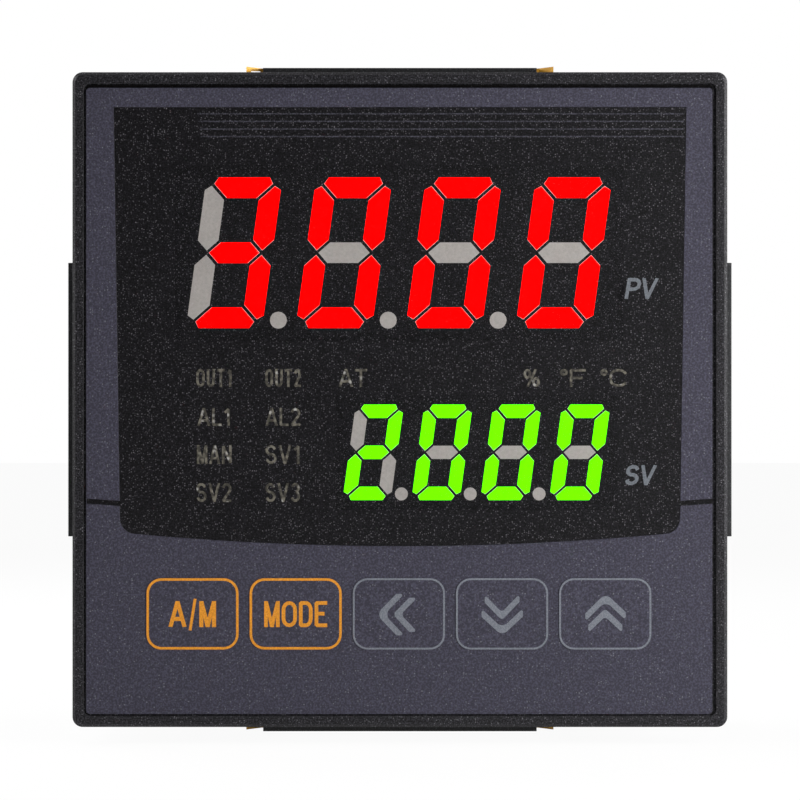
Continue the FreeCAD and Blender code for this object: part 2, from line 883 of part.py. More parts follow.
def make_light_shield():
    body = new_body("light_shield")
    outline = new_sketch(body, "XZ", display_front)
    draw_outline(
        outline,
        [
            (shield_left, sv_low),
            (sv_left - size.shield_gap, sv_low),
            (sv_left - size.shield_gap, sv_top + size.shield_gap),
            (shield_right, sv_top + size.shield_gap),
            (shield_right, shield_top),
            (shield_left, shield_top),
        ],
    )
    pad(body, outline, board_front - display_front)
    cells = new_sketch(body, "XZ", display_front)
    for across, height in lamp_spots():
        draw_box_outline(cells, across, height, size.lamp_cell_wide, size.lamp_cell_tall)
    pocket(body, cells)
    lamps = [
        new_block(
            f"lamp_{place}",
            across - size.lamp_wide / 2,
            board_front - size.lamp_deep,
            height - size.lamp_tall / 2,
            size.lamp_wide,
            size.lamp_deep,
            size.lamp_tall,
        )
        for place, (across, height) in enumerate(lamp_spots())
    ]
    new_node("Compound", "indicator_lamps", Links=lamps)


# Keys: a moulded cap with a retaining flange and a stem that meets its switch's plunger.


def make_key(name, place):
    body = new_body(f"key_{name}")
    cap_front = web_front + size.key_film_gap
    across = key_spot(place)
    cap = new_sketch(body, "XZ", cap_front)
    draw_box_outline(cap, across, key_row_z, key_wide, key_tall)
    pad(body, cap, flange_front - cap_front)
    round_edges(body, lambda edge: runs_along(edge, "y"), size.key_corner, "Chamfer")
    flange = new_sketch(body, "XZ", flange_front)
    flange_wide = key_wide + 2 * size.key_flange_edge
    flange_tall = key_tall + 2 * size.key_flange_edge
    draw_box_outline(flange, across, key_row_z, flange_wide, flange_tall)
    pad(body, flange, size.key_flange_thick)
    stem = new_sketch(body, "XZ", flange_back)
    draw_box_outline(stem, across, key_row_z, size.key_stem_side, size.key_stem_side)
    pad(body, stem, size.key_stem_long)
    plunger = new_rod(
        f"switch_plunger_{name}",
        across,
        plunger_front,
        key_row_z,
        size.plunger_diameter,
        size.plunger_long,
        ROUND_SIDES,
    )
    nodes.append(plunger)


def make_switches():
    bodies = []
    wells = []
    for place in range(len(KEY_NAMES)):
        across = key_spot(place)
        bodies.append(
            new_block(
                f"switch_block_{place}",
                across - size.switch_side / 2,
                switch_front,
                key_row_z - size.switch_side / 2,
                size.switch_side,
                size.switch_tall,
                size.switch_side,
            )
        )
        wells.append(
            new_rod(
                f"switch_well_{place}",
                across,
                switch_front,
                key_row_z,
                size.plunger_diameter + 2 * size.plunger_play,
                size.plunger_well,
                ROUND_SIDES,
            )
        )
    blocks = doc.addObject("Part::Compound", "switch_blocks")
    blocks.Links = bodies
    holes = doc.addObject("Part::Compound", "switch_wells")
    holes.Links = wells
    new_node("Cut", "key_switches", Base=blocks, Tool=holes)


# Display board and its screws.


def make_display_board():
    body = new_body("display_board")
    outline = new_sketch(body, "XZ", board_front)
    draw_square(outline, board_half)
    pad(body, outline, size.board_thick)
    holes = new_sketch(body, "XZ", board_front)
    bore = size.screw_core + 2 * size.screw_hole_play
    screws = []
    for across in (-boss_place, boss_place):
        for height in (-boss_place, boss_place):
            draw_polygon(holes, across, height, bore, SHANK_SIDES)
            screws.append(new_board_screw(len(screws), across, height))
    pocket(body, holes)
    new_node("Compound", "display_board_screws", Links=screws)


def new_board_screw(place, across, height):
    shank = new_rod(
        f"board_screw_shank_{place}",
        across,
        board_front - size.screw_bite,
        height,
        size.screw_core,
        size.screw_bite + size.board_thick,
        SHANK_SIDES,
    )
    head = new_rod(
        f"board_screw_head_{place}",
        across,
        board_back,
        height,
        size.screw_head_diameter,
        size.screw_head_tall,
        HEAD_SIDES,
    )
    return new_pair("Fuse", f"board_screw_{place}", shank, head)


# Gasket: a flat rubber ring round the case, between the bezel and the panel.


def make_gasket():
    body = new_body("panel_gasket")
    ring = new_sketch(body, "XZ", bezel_back)
    draw_square(ring, bezel_half - size.gasket_border)
    draw_square(ring, case_half + size.gasket_play)
    pad(body, ring, size.gasket_thick)


# Case: a square moulded tube with a rear wall. Each side has a T-channel with a ratchet rack on
# its floor, in which a clamp bracket slides, so the tube still passes through the panel.


def cavity_corners():
    """The inside of the tube, which steps inwards behind each channel."""
    quarter = [
        (-cavity_half, case_inner),
        (-cavity_half, cavity_floor),
        (cavity_half, cavity_floor),
        (cavity_half, case_inner),
        (case_inner, case_inner),
    ]
    corners = []
    for turn in range(4):
        corners += quarter
        quarter = [(v, -u) for u, v in quarter]
    return corners


def make_case():
    body = new_body("case")
    tube = new_sketch(body, "XZ", bezel_back)
    draw_square(tube, case_half)
    pad(body, tube, size.gasket_thick + size.case_back)
    round_edges(body, lambda edge: runs_along(edge, "y"), size.case_corner)
    mouth = new_sketch(body, "XZ", bezel_back)
    draw_square(mouth, case_inner)
    pocket(body, mouth, cavity_front - bezel_back)
    cavity = new_sketch(body, "XZ", cavity_front)
    draw_outline(cavity, cavity_corners())
    pocket(body, cavity, rear_wall_front - cavity_front)
    channel = new_sketch(body, "XZ", size.channel_front)
    lip = case_half - size.channel_lip
    draw_outline(
        channel,
        [
            (-size.channel_mouth, case_half),
            (-size.channel_mouth, lip),
            (-channel_half, lip),
            (-channel_half, channel_floor),
            (channel_half, channel_floor),
            (channel_half, lip),
            (size.channel_mouth, lip),
            (size.channel_mouth, case_half),
        ],
    )
    turn_pattern(body, [pocket(body, channel)], len(SIDES))
    rack = new_sketch(body, "YZ")
    crest = channel_floor + size.rack_tall
    room = (size.case_back - size.rack_end - size.rack_front) / size.rack_pitch
    teeth = round(number_of(room))
    back = size.rack_front + teeth * size.rack_pitch
    corners = [(back, channel_floor), (size.rack_front, channel_floor)]
    for tooth in range(teeth):
        start = size.rack_front + tooth * size.rack_pitch
        if tooth:
            corners.append((start, channel_floor + size.rack_root))
        corners.append((start, crest))
    draw_outline(rack, corners)
    turn_pattern(body, [pad(body, rack, size.rack_wide, midplane=True)], len(SIDES))
    add_case_openings(body)


def add_case_openings(body):
    """Vents at the top and bottom, windows for the bezel's hooks, and openings at the rear."""
    vent = new_sketch(body, "XY", case_half)
    for across in (-wall_middle, wall_middle):
        middle = size.vent_front + size.vent_wide / 2
        draw_box_outline(vent, across, middle, size.vent_long, size.vent_wide)
    row_pattern(body, [pocket(body, vent)], "Y", size.vent_pitch, VENTS)
    windows = new_sketch(body, "XY", case_half)
    nose_back = hook_end - size.hook_tip
    nose_front = nose_back - size.hook_nose_long
    for across in (-wall_middle, wall_middle):
        draw_rectangle(
            windows,
            across - size.hook_wide / 2 - size.hook_play,
            nose_front - size.hook_play,
            across + size.hook_wide / 2 + size.hook_play,
            nose_back + size.hook_play,
        )
    pocket(body, windows)
    rear = new_sketch(body, "XZ", rear_wall_front)
    half_tall = terminal_half_tall + size.terminal_play
    half_wide = size.terminal_wide / 2 + size.terminal_play
    for place in (-terminal_place, terminal_place):
        draw_rectangle(rear, place - half_wide, -half_tall, place + half_wide, half_tall)
    pocket(body, rear)
    slot = new_sketch(body, "XZ", rear_wall_front)
    lowest = -(GRILLE_SLOTS - 1) / 2 * size.grille_pitch
    draw_box_outline(slot, 0, lowest, size.grille_wide, size.grille_slot)
    row_pattern(body, [pocket(body, slot)], "Z", size.grille_pitch, GRILLE_SLOTS)


# Terminal blocks: a moulding with twelve cells between barriers, each with a nickel-plated
# plate on its floor and a screw through it.


def make_terminal_block(name, middle):
    body = new_body(f"terminal_block_{name}")
    base = new_sketch(body, "XZ", terminal_front)
    half_wide = size.terminal_wide / 2 + size.terminal_flange
    draw_rectangle(
        base, middle - half_wide, -terminal_half_tall, middle + half_wide, terminal_half_tall
    )
    pad(body, base, size.terminal_flange_thick)
    nose = new_sketch(body, "XZ", rear_wall_front)
    draw_box_outline(nose, middle, 0, size.terminal_wide, 2 * terminal_half_tall)
    pad(body, nose, terminal_back - rear_wall_front)
    lowest = -(TERMINALS - 1) / 2 * terminal_pitch
    cell = new_sketch(body, "XZ", cell_floor)
    draw_box_outline(cell, middle, lowest, size.cell_wide, cell_tall)
    bore = new_sketch(body, "XZ", cell_floor)
    draw_polygon(bore, middle, lowest, size.terminal_screw, SHANK_SIDES)
    cells = pocket(body, cell)
    bores = pocket(body, bore, size.terminal_screw_long, backwards=True)
    row_pattern(body, [cells, bores], "Z", terminal_pitch, TERMINALS)


def make_terminals(name, middle):
    """The plates and the screws of one block."""
    plates = []
    screws = []
    for place in range(TERMINALS):
        height = (place - (TERMINALS - 1) / 2) * terminal_pitch
        plates.append(new_plate(f"{name}_{place}", middle, height))
        screws.append(new_terminal_screw(f"{name}_{place}", middle, height))
    new_node("Compound", f"terminal_plates_{name}", Links=plates)
    new_node("Compound", f"terminal_screws_{name}", Links=screws)


def new_plate(tag, middle, height):
    wide = size.cell_wide - 2 * size.plate_play
    tall = cell_tall - 2 * size.plate_play
    blank = new_block(
        f"plate_blank_{tag}",
        middle - wide / 2,
        cell_floor,
        height - tall / 2,
        wide,
        size.plate_thick,
        tall,
    )
    hole = new_rod(
        f"plate_hole_{tag}",
        middle,
        cell_floor,
        height,
        size.terminal_screw,
        size.plate_thick,
        SHANK_SIDES,
    )
    return new_pair("Cut", f"plate_{tag}", blank, hole)


def new_terminal_screw(tag, middle, height):
    shank = new_rod(
        f"terminal_shank_{tag}",
        middle,
        cell_floor - size.terminal_screw_long,
        height,
        size.terminal_screw,
        size.terminal_screw_long + size.plate_thick,
        SHANK_SIDES,
    )
    head = new_rod(
        f"terminal_head_{tag}",
        middle,
        cell_floor + size.plate_thick,
        height,
        cell_tall - 2 * size.terminal_head_play,
        size.terminal_head_tall,
        HEAD_SIDES,
    )
    return new_pair("Fuse", f"terminal_screw_{tag}", shank, head)


# Clamp brackets: tongues run under the lips of the case's channel, a pawl rides over the rack,
# and a slot behind the clamping wall holds a leaf spring that bears on the panel first.


def make_bracket(name, turn):
    body = new_body(f"bracket_{name}")
    base = case_half + size.bracket_lift
    top = base + size.bracket_plate
    stem_half = size.channel_mouth - size.bracket_play
    tongue_half = channel_half - size.bracket_play
    tongue_top = case_half - size.channel_lip - size.bracket_play
    tongue_low = channel_floor + size.tongue_float
    tongue_inner = size.rack_wide / 2 + size.tongue_play
    stem_low = channel_floor + size.rack_tall + size.rack_clearance
    right = [
        (tongue_inner, stem_low),
        (tongue_inner, tongue_low),
        (tongue_half, tongue_low),
        (tongue_half, tongue_top),
        (stem_half, tongue_top),
        (stem_half, base),
        (bracket_half, base),
        (bracket_half, top),
    ]
    section = new_sketch(body, "XZ", size.bracket_front)
    draw_outline(section, right + [(-u, v) for u, v in reversed(right)])
    pad(body, section, size.bracket_long)
    setback = new_sketch(body, "XZ", size.bracket_front)
    draw_rectangle(setback, -bracket_half, tongue_low, bracket_half, base)
    pocket(body, setback, size.tongue_setback)
    profile = new_sketch(body, "YZ")
    front = size.bracket_front
    back = front + size.bracket_long
    draw_outline(
        profile,
        [
            (front, top),
            (front, top + size.clamp_rise),
            (front + size.clamp_deep, top + size.clamp_rise),
            (front + size.clamp_deep, top),
        ],
    )
    draw_outline(
        profile,
        [
            (back - size.grip_long - size.grip_ramp, top),
            (back - size.grip_long, top + size.grip_rise),
            (back, top + size.grip_rise),
            (back, top),
        ],
    )
    pad(body, profile, 2 * bracket_half, midplane=True)
    slot = new_sketch(body, "YZ")
    draw_rectangle(
        slot,
        front + size.clamp_wall,
        base + size.slot_floor,
        front + size.clamp_wall + size.leaf_thick + size.leaf_play,
        top + size.clamp_rise,
    )
    pocket(body, slot, 2 * bracket_half, midplane=True)
    add_bracket_ribs(body, top)
    add_pawl(body, stem_low, top)
    body.Placement = FreeCAD.Placement(
        FreeCAD.Vector(), FreeCAD.Rotation(FreeCAD.Vector(0, 1, 0), turn)
    )


def add_bracket_ribs(body, top):
    """Two ribs that stiffen the plate from the clamping wall to the grip."""
    ribs = new_sketch(body, "XZ", size.bracket_front + size.clamp_deep)
    rib_place = bracket_half - size.rib_border
    for across in (-rib_place, rib_place):
        middle = top + size.rib_rise / 2
        draw_box_outline(ribs, across, middle, size.rib_wide, size.rib_rise)
    pad(body, ribs, size.bracket_long - size.clamp_deep - size.grip_long)


def add_pawl(body, stem_low, top):
    """A springy pawl: a tongue of the plate cut free by a U-shaped slit, with a tooth under it."""
    back = size.bracket_front + size.bracket_long - size.grip_long - size.pawl_border_back
    wall_back = size.bracket_front + size.clamp_deep
    front = wall_back + size.pawl_border_front + size.pawl_slit
    half = size.pawl_wide / 2
    slit = new_sketch(body, "XY", top + size.grip_rise)
    outer = half + size.pawl_slit
    draw_outline(
        slit,
        [
            (-outer, front - size.pawl_slit),
            (outer, front - size.pawl_slit),
            (outer, back),
            (half, back),
            (half, front),
            (-half, front),
            (-half, back),
            (-outer, back),
        ],
    )
    pocket(body, slit)
    tooth = new_sketch(body, "YZ")
    draw_outline(
        tooth,
        [
            (front, stem_low),
            (front + size.rack_pitch, stem_low),
            (front, stem_low - size.pawl_tooth),
        ],
    )
    pad(body, tooth, size.pawl_wide, midplane=True)


def make_leaf(name, turn, lift):
    """A bent strip of spring steel. Its wings lean forward past the bracket's clamping wall."""
    body = new_body(f"leaf_spring_{name}")
    low = case_half + size.bracket_lift + size.slot_floor + lift
    high = low + size.leaf_tall
    front = size.bracket_front + size.clamp_wall
    back = front + size.leaf_thick
    bend = bracket_half + size.leaf_bend
    tip = bracket_half + size.leaf_wing
    plan = new_sketch(body, "XY", low)
    draw_outline(
        plan,
        [
            (-tip, front - size.leaf_forward),
            (-tip, back - size.leaf_forward),
            (-bend, back),
            (bend, back),
            (tip, back - size.leaf_forward),
            (tip, front - size.leaf_forward),
            (bend, front),
            (-bend, front),
        ],
    )
    pad(body, plan, size.leaf_tall)
    slope = new_sketch(body, "XZ", front - size.leaf_forward)
    dip = high - size.leaf_slope
    draw_outline(
        slope, [(-tip, high), (-bracket_half, dip), (bracket_half, dip), (tip, high)]
    )
    pocket(body, slope)
    window = new_sketch(body, "XZ", front - size.leaf_forward)
    draw_rectangle(
        window,
        -tip + size.leaf_rim_end,
        low + size.leaf_rim_top,
        -bend,
        dip - size.leaf_rim_top,
    )
    pocket(body, window)
    body.Placement = FreeCAD.Placement(
        FreeCAD.Vector(), FreeCAD.Rotation(FreeCAD.Vector(0, 1, 0), turn)
    )


# Inside: two boards stand behind the display board, each plugged into it by a connector and
# ending at a terminal block. The power board carries the transformer and two capacitors, the
# other board carries three relays.


def make_side_boards():
    front = board_back + size.side_board_gap
    deep = terminal_front - front
    low = size.side_board_border - case_inner
    tall = -2 * low
    outer = size.side_board_place + size.side_board_thick
    power = new_block("power_board", -outer, front, low, size.side_board_thick, deep, tall)
    signal = new_block(
        "signal_board",
        size.side_board_place,
        front,
        low,
        size.side_board_thick,
        deep,
        tall,
    )
    nodes.extend([power, signal])
    left = -size.side_board_place
    right = size.side_board_place - size.connector_wide
    connectors = [
        new_block(
            f"connector_{place}",
            across,
            board_back,
            -size.connector_tall / 2,
            size.connector_wide,
            size.connector_deep,
            size.connector_tall,
        )
        for place, across in enumerate((left, right))
    ]
    new_node("Compound", "board_connectors", Links=connectors)
    chip = new_block(
        "controller_chip",
        size.chip_x,
        board_back,
        size.chip_z,
        size.chip_side,
        size.chip_thick,
        size.chip_side,
    )
    nodes.append(chip)


def make_transformer():
    left = -size.side_board_place + size.winding_proud
    front = size.transformer_front
    low = size.transformer_z - size.transformer_tall / 2
    core = new_block(
        "core_block",
        left,
        front,
        low,
        size.transformer_wide - 2 * size.winding_proud,
        size.transformer_deep,
        size.transformer_tall,
    )
    hole = new_block(
        "core_window",
        left,
        front + size.core_limb,
        low + size.core_limb,
        size.transformer_wide - 2 * size.winding_proud,
        size.transformer_deep - 2 * size.core_limb,
        size.transformer_tall - 2 * size.core_limb,
    )
    new_node("Cut", "transformer_core", Base=core, Tool=hole)
    winding = new_block(
        "transformer_winding",
        -size.side_board_place,
        front + size.core_limb,
        low + size.core_limb + size.winding_play,
        size.transformer_wide,
        size.transformer_deep - 2 * size.core_limb,
        size.transformer_tall - 2 * size.core_limb - 2 * size.winding_play,
    )
    nodes.append(winding)


def make_relays_and_capacitors():
    relays = [
        new_block(
            f"relay_{place}",
            size.side_board_place - size.relay_wide,
            size.relay_front,
            (place - (RELAYS - 1) / 2) * size.relay_pitch - size.relay_tall / 2,
            size.relay_wide,
            size.relay_deep,
            size.relay_tall,
        )
        for place in range(RELAYS)
    ]
    new_node("Compound", "output_relays", Links=relays)
    cans = [
        new_rod(
            f"capacitor_{place}",
            -size.side_board_place,
            size.capacitor_front + place * size.capacitor_pitch,
            size.capacitor_z,
            size.capacitor_diameter,
            size.capacitor_long,
            ROUND_SIDES,
            along="x",
        )
        for place in range(CAPACITORS)
    ]
    new_node("Compound", "filter_capacitors", Links=cans)


make_bezel()
make_film()
make_window()
make_display("pv", "3000", size.pv_middle_x, pv_low, pv_digit_tall)
make_display("sv", "2000", (sv_left + sv_right) / 2, sv_low, size.sv_digit_tall)
make_light_shield()
for key_place, key_name in enumerate(KEY_NAMES):
    make_key(key_name, key_place)
make_switches()
make_display_board()
make_gasket()
make_case()
for side_name, side_middle in (("left", -terminal_place), ("right", terminal_place)):
    make_terminal_block(side_name, side_middle)
    make_terminals(side_name, side_middle)
leaf_lifts = {
    "top": size.leaf_lift_top,
    "bottom": size.leaf_lift_bottom,
    "left": size.leaf_lift_sides,
    "right": size.leaf_lift_sides,
}
for bracket_name, bracket_turn in SIDES:
    make_bracket(bracket_name, bracket_turn)
    make_leaf(bracket_name, bracket_turn, leaf_lifts[bracket_name])
make_side_boards()
make_transformer()
make_relays_and_capacitors()

doc.recompute()
for item in doc.Objects:
    if "Invalid" in item.State or "Error" in item.State:
        raise RuntimeError(f"{item.Label} failed: {item.State}")
    if item.TypeId == "PartDesign::Pocket":
        if item.Shape.Volume > item.BaseFeature.Shape.Volume - 1e-4:
            raise RuntimeError(f"{item.Label} cuts nothing")
for node in nodes:
    if node.Shape.isNull() or not node.Shape.isValid():
        raise RuntimeError(f"{node.Label} has no valid shape")
os.makedirs("parts", exist_ok=True)
for node in nodes:
    node.Shape.exportStep(os.path.join("parts", f"{node.Label}.step"))
print(len(nodes), "nodes written")
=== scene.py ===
import math

import bmesh
import bpy
from mathutils import Matrix, Vector


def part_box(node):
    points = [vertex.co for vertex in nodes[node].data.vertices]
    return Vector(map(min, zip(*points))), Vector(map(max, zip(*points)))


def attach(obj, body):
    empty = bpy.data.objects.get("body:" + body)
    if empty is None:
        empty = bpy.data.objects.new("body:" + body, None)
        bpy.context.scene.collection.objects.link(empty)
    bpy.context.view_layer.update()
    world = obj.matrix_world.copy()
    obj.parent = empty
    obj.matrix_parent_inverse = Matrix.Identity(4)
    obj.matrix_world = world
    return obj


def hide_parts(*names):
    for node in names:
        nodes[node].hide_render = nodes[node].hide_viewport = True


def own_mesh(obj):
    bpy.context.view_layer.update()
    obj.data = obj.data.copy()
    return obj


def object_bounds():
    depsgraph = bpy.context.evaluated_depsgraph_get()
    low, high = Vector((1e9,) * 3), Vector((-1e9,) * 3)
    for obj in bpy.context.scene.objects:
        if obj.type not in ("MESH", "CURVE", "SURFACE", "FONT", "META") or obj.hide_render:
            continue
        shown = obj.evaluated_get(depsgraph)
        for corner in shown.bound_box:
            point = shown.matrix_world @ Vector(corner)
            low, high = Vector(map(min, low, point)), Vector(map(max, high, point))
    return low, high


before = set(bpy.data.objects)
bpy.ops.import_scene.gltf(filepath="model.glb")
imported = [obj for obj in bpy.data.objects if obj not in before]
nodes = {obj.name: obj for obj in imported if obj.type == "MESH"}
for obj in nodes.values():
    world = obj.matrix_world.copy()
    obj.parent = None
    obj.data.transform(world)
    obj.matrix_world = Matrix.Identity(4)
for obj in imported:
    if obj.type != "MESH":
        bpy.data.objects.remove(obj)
cad_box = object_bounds()
scene = bpy.context.scene
scene.view_settings.view_transform = "Standard"
mm = 0.001


# Camera, lamps and floor. The camera looks level and straight at the face. A large soft lamp
# stands at the front right and weaker ones at both sides and behind. The surround is white,
# but gloss mirrors it and the floor darker on the camera's side, where there is no backdrop.

camera = bpy.data.objects.new("camera", bpy.data.cameras.new("camera"))
camera.data.sensor_width = 36
camera.data.lens = 276.4
camera.data.clip_start = 0.01
camera.location = (0.000015, -0.906, -0.00006)
camera.rotation_euler = (math.radians(90), 0, 0)
scene.collection.objects.link(camera)
scene.camera = camera


def add_lamp(name, place, side, power):
    lamp = bpy.data.lights.new(name, "AREA")
    lamp.shape = "SQUARE"
    lamp.size = side
    lamp.energy = power
    holder = bpy.data.objects.new(name, lamp)
    holder.location = place
    holder.rotation_euler = (-Vector(place)).to_track_quat("-Z", "Y").to_euler()
    scene.collection.objects.link(holder)


add_lamp("lamp_front_right", (0.20, -0.20, 0.03), 0.12, 0.64)
add_lamp("lamp_side_right", (0.55, 0.03, 0.18), 0.25, 2.6)
add_lamp("lamp_side_left", (-0.60, 0.03, 0.30), 0.30, 2.4)
add_lamp("lamp_back", (-0.25, 0.60, 0.50), 0.40, 4.0)


def mapped(tree, value, start=0.0, end=1.0, low=0.0, high=1.0):
    """A value that runs from low to high while the given one runs from start to end."""
    node = tree.nodes.new("ShaderNodeMapRange")
    node.inputs["From Min"].default_value = start
    node.inputs["From Max"].default_value = end
    node.inputs["To Min"].default_value = low
    node.inputs["To Max"].default_value = high
    tree.links.new(value, node.inputs["Value"])
    return node.outputs["Result"]


def combined(tree, operation, *values):
    """Values taken together by one operation. Each is a socket or a plain number."""
    node = tree.nodes.new("ShaderNodeMath")
    node.operation = operation
    for place, value in zip(node.inputs, values):
        if isinstance(value, (int, float)):
            place.default_value = value
        else:
            tree.links.new(value, place)
    return node.outputs[0]


def position(tree, axis, kind="Object"):
    """The X, Y or Z of the spot that is shaded."""
    split = tree.nodes.new("ShaderNodeSeparateXYZ")
    tree.links.new(tree.nodes.new("ShaderNodeTexCoord").outputs[kind], split.inputs[0])
    return split.outputs[axis]


def either_ray(tree, *rays):
    """1 for rays of these kinds, such as what the camera sees, and 0 for the others."""
    path = tree.nodes.new("ShaderNodeLightPath")
    found = path.outputs[rays[0]]
    for ray in rays[1:]:
        found = combined(tree, "MAXIMUM", found, path.outputs[ray])
    return found


surround = bpy.data.worlds.new("white_surround")
surround.use_nodes = True
scene.world = surround
tree = surround.node_tree
backdrop = mapped(tree, position(tree, "Y", "Generated"), start=-0.5, end=0.0, low=0.06)
for_gloss = tree.nodes.new("ShaderNodeMix")
for_gloss.inputs["A"].default_value = 0.24
tree.links.new(backdrop, for_gloss.inputs["B"])
tree.links.new(either_ray(tree, "Is Glossy Ray"), for_gloss.inputs["Factor"])
strength = tree.nodes.new("ShaderNodeMix")
strength.inputs["B"].default_value = 1.0
tree.links.new(for_gloss.outputs["Result"], strength.inputs["A"])
seen = either_ray(tree, "Is Camera Ray", "Is Transmission Ray")
tree.links.new(seen, strength.inputs["Factor"])
tree.nodes["Background"].inputs["Color"].default_value = (1, 1, 1, 1)
tree.links.new(strength.outputs["Result"], tree.nodes["Background"].inputs["Strength"])

floor_paint = bpy.data.materials.new("pale_floor")
floor_paint.use_nodes = True
tree = floor_paint.node_tree
tree.nodes.remove(tree.nodes["Principled BSDF"])
matt = tree.nodes.new("ShaderNodeBsdfDiffuse")
matt.inputs["Color"].default_value = (0.86, 0.86, 0.86, 1)
white = tree.nodes.new("ShaderNodeEmission")
before_object = mapped(tree, position(tree, "Y"), start=-0.03, end=-0.2)
mirrored = combined(tree, "MULTIPLY", before_object, either_ray(tree, "Is Glossy Ray"))
tree.links.new(mapped(tree, mirrored, low=1.0, high=0.2), white.inputs["Strength"])
blend = tree.nodes.new("ShaderNodeMixShader")
seen = either_ray(tree, "Is Camera Ray", "Is Glossy Ray", "Is Transmission Ray")
tree.links.new(mapped(tree, seen, high=0.95), blend.inputs[0])
tree.links.new(matt.outputs[0], blend.inputs[1])
tree.links.new(white.outputs[0], blend.inputs[2])
tree.links.new(blend.outputs[0], tree.nodes["Material Output"].inputs["Surface"])
floor_mesh = bpy.data.meshes.new("floor")
floor_low = cad_box[0][2]
floor_reach = 4
floor_corners = [(-1, -1), (1, -1), (1, 1), (-1, 1)]
floor_mesh.from_pydata(
    [(x * floor_reach, y * floor_reach, floor_low) for x, y in floor_corners],
    [],
    [(0, 1, 2, 3)],
)
floor = bpy.data.objects.new("floor", floor_mesh)
floor_mesh.materials.append(floor_paint)
scene.collection.objects.link(floor)


# Front bezel: one deep black moulding with a spark-eroded skin. Its raised border frames the
# film, and the hooks and bosses behind it snap into the case and carry the display board.


def new_finish(name):
    """A material, its node tree, the shader in it and the place on the piece it is put on."""
    material = bpy.data.materials.new(name)
    material.use_nodes = True
    tree = material.node_tree
    place = tree.nodes.new("ShaderNodeTexCoord").outputs["Object"]
    return material, tree, tree.nodes["Principled BSDF"], place


def cloudy(tree, place, scale, detail=2.0):
    """Soft noise, whose clouds are smaller the larger the scale is."""
    noise = tree.nodes.new("ShaderNodeTexNoise")
    noise.inputs["Scale"].default_value = scale
    noise.inputs["Detail"].default_value = detail
    tree.links.new(place, noise.inputs["Vector"])
    return noise.outputs[0]


def shaded(tree, value, start, dark, end, light):
    """A colour that runs from dark to light while a value runs from start to end."""
    ramp = tree.nodes.new("ShaderNodeValToRGB")
    for stop, spot, colour in zip(ramp.color_ramp.elements, (start, end), (dark, light)):
        stop.position = spot
        stop.color = (*colour, 1)
    tree.links.new(value, ramp.inputs["Fac"])
    return ramp.outputs["Color"]


def dimmed(colour, share):
    return [min(1, c * share) for c in colour]


def speckled(
    name, ground, fleck, rough, gloss, pitch=0.0003, mottle=0.6, rarity=3.0, dents=0.03, edge=0.0
):
    """Matt plastic or print: a mottled ground with a small pale fleck about every pitch.

    A higher rarity leaves fewer flecks, dents is the depth of the moulded skin as a share of
    the pitch, and edge is the radius that rounds sharp edges, in metres.
    """
    material, tree, shader, place = new_finish(name)
    shader.inputs["Specular IOR Level"].default_value = gloss
    fine = cloudy(tree, place, 1.25 / pitch, detail=1)
    dark, light = dimmed(ground, 1 - 0.8 * mottle), dimmed(ground, 1 + 1.1 * mottle)
    mottled = shaded(tree, fine, 0.43, dark, 0.61, light)
    cells = tree.nodes.new("ShaderNodeTexVoronoi")
    cells.inputs["Scale"].default_value = 1 / pitch
    tree.links.new(place, cells.inputs["Vector"])
    chance = tree.nodes.new("ShaderNodeSeparateXYZ")
    tree.links.new(cells.outputs["Color"], chance.inputs[0])
    rare = combined(tree, "POWER", chance.outputs["X"], rarity)
    spot = mapped(tree, cells.outputs["Distance"], start=0.36, end=0.12)
    skin = tree.nodes.new("ShaderNodeMix")
    skin.data_type = "RGBA"
    skin.inputs["B"].default_value = (*fleck, 1)
    tree.links.new(combined(tree, "MULTIPLY", spot, rare), skin.inputs["Factor"])
    tree.links.new(mottled, skin.inputs["A"])
    tree.links.new(skin.outputs["Result"], shader.inputs["Base Color"])
    broad = cloudy(tree, place, 0.06 / pitch)
    wear = mapped(tree, broad, low=rough - 0.08, high=rough + 0.08)
    tree.links.new(wear, shader.inputs["Roughness"])
    relief = tree.nodes.new("ShaderNodeBump")
    relief.inputs["Distance"].default_value = dents * pitch
    relief.inputs["Strength"].default_value = 0.5
    tree.links.new(fine, relief.inputs["Height"])
    if edge:
        rounding = tree.nodes.new("ShaderNodeBevel")
        rounding.inputs["Radius"].default_value = edge
        tree.links.new(rounding.outputs["Normal"], relief.inputs["Normal"])
    tree.links.new(relief.outputs["Normal"], shader.inputs["Normal"])
    return material


def finish_nodes(material, *names):
    for name in names:
        for slot in nodes[name].material_slots:
            slot.material = material


bezel_plastic = speckled(
    "black_bezel_plastic",
    (0.0126, 0.0120, 0.0146),
    (0.19, 0.185, 0.205),
    rough=0.5,
    gloss=0.22,
    mottle=1.0,
    rarity=1.8,
    dents=0.06,
    edge=0.0002,
)
finish_nodes(bezel_plastic, "front_bezel")


# Printed film: one matt polycarbonate sheet, blue-grey with a fine sparkle, printed from
# behind and embossed over each key. It is glued into the bezel's recess round the window, a
# little low and to the left. The black glue sheet under it is raised so that a strip of it
# shows above the film as a dark line: painted shade in the gap between the film and the bezel.


def softened(corners, radii, steps=7):
    """An outline whose corners are rounded by these radii, in millimetres."""
    outline = []
    for place, radius in enumerate(radii):
        corner = Vector(corners[place])
        if not radius:
            outline.append(tuple(corner))
            continue
        back = (Vector(corners[place - 1]) - corner).normalized()
        ahead = (Vector(corners[(place + 1) % len(corners)]) - corner).normalized()
        half = back.angle(ahead) / 2
        middle = corner + (back + ahead).normalized() * radius / math.sin(half)
        start = corner + back * radius / math.tan(half) - middle
        turn = start.angle_signed(corner + ahead * radius / math.tan(half) - middle)
        for step in range(steps + 1):
            spin = Matrix.Rotation(-turn * step / steps, 2)
            outline.append(tuple(middle + spin @ start))
    return outline


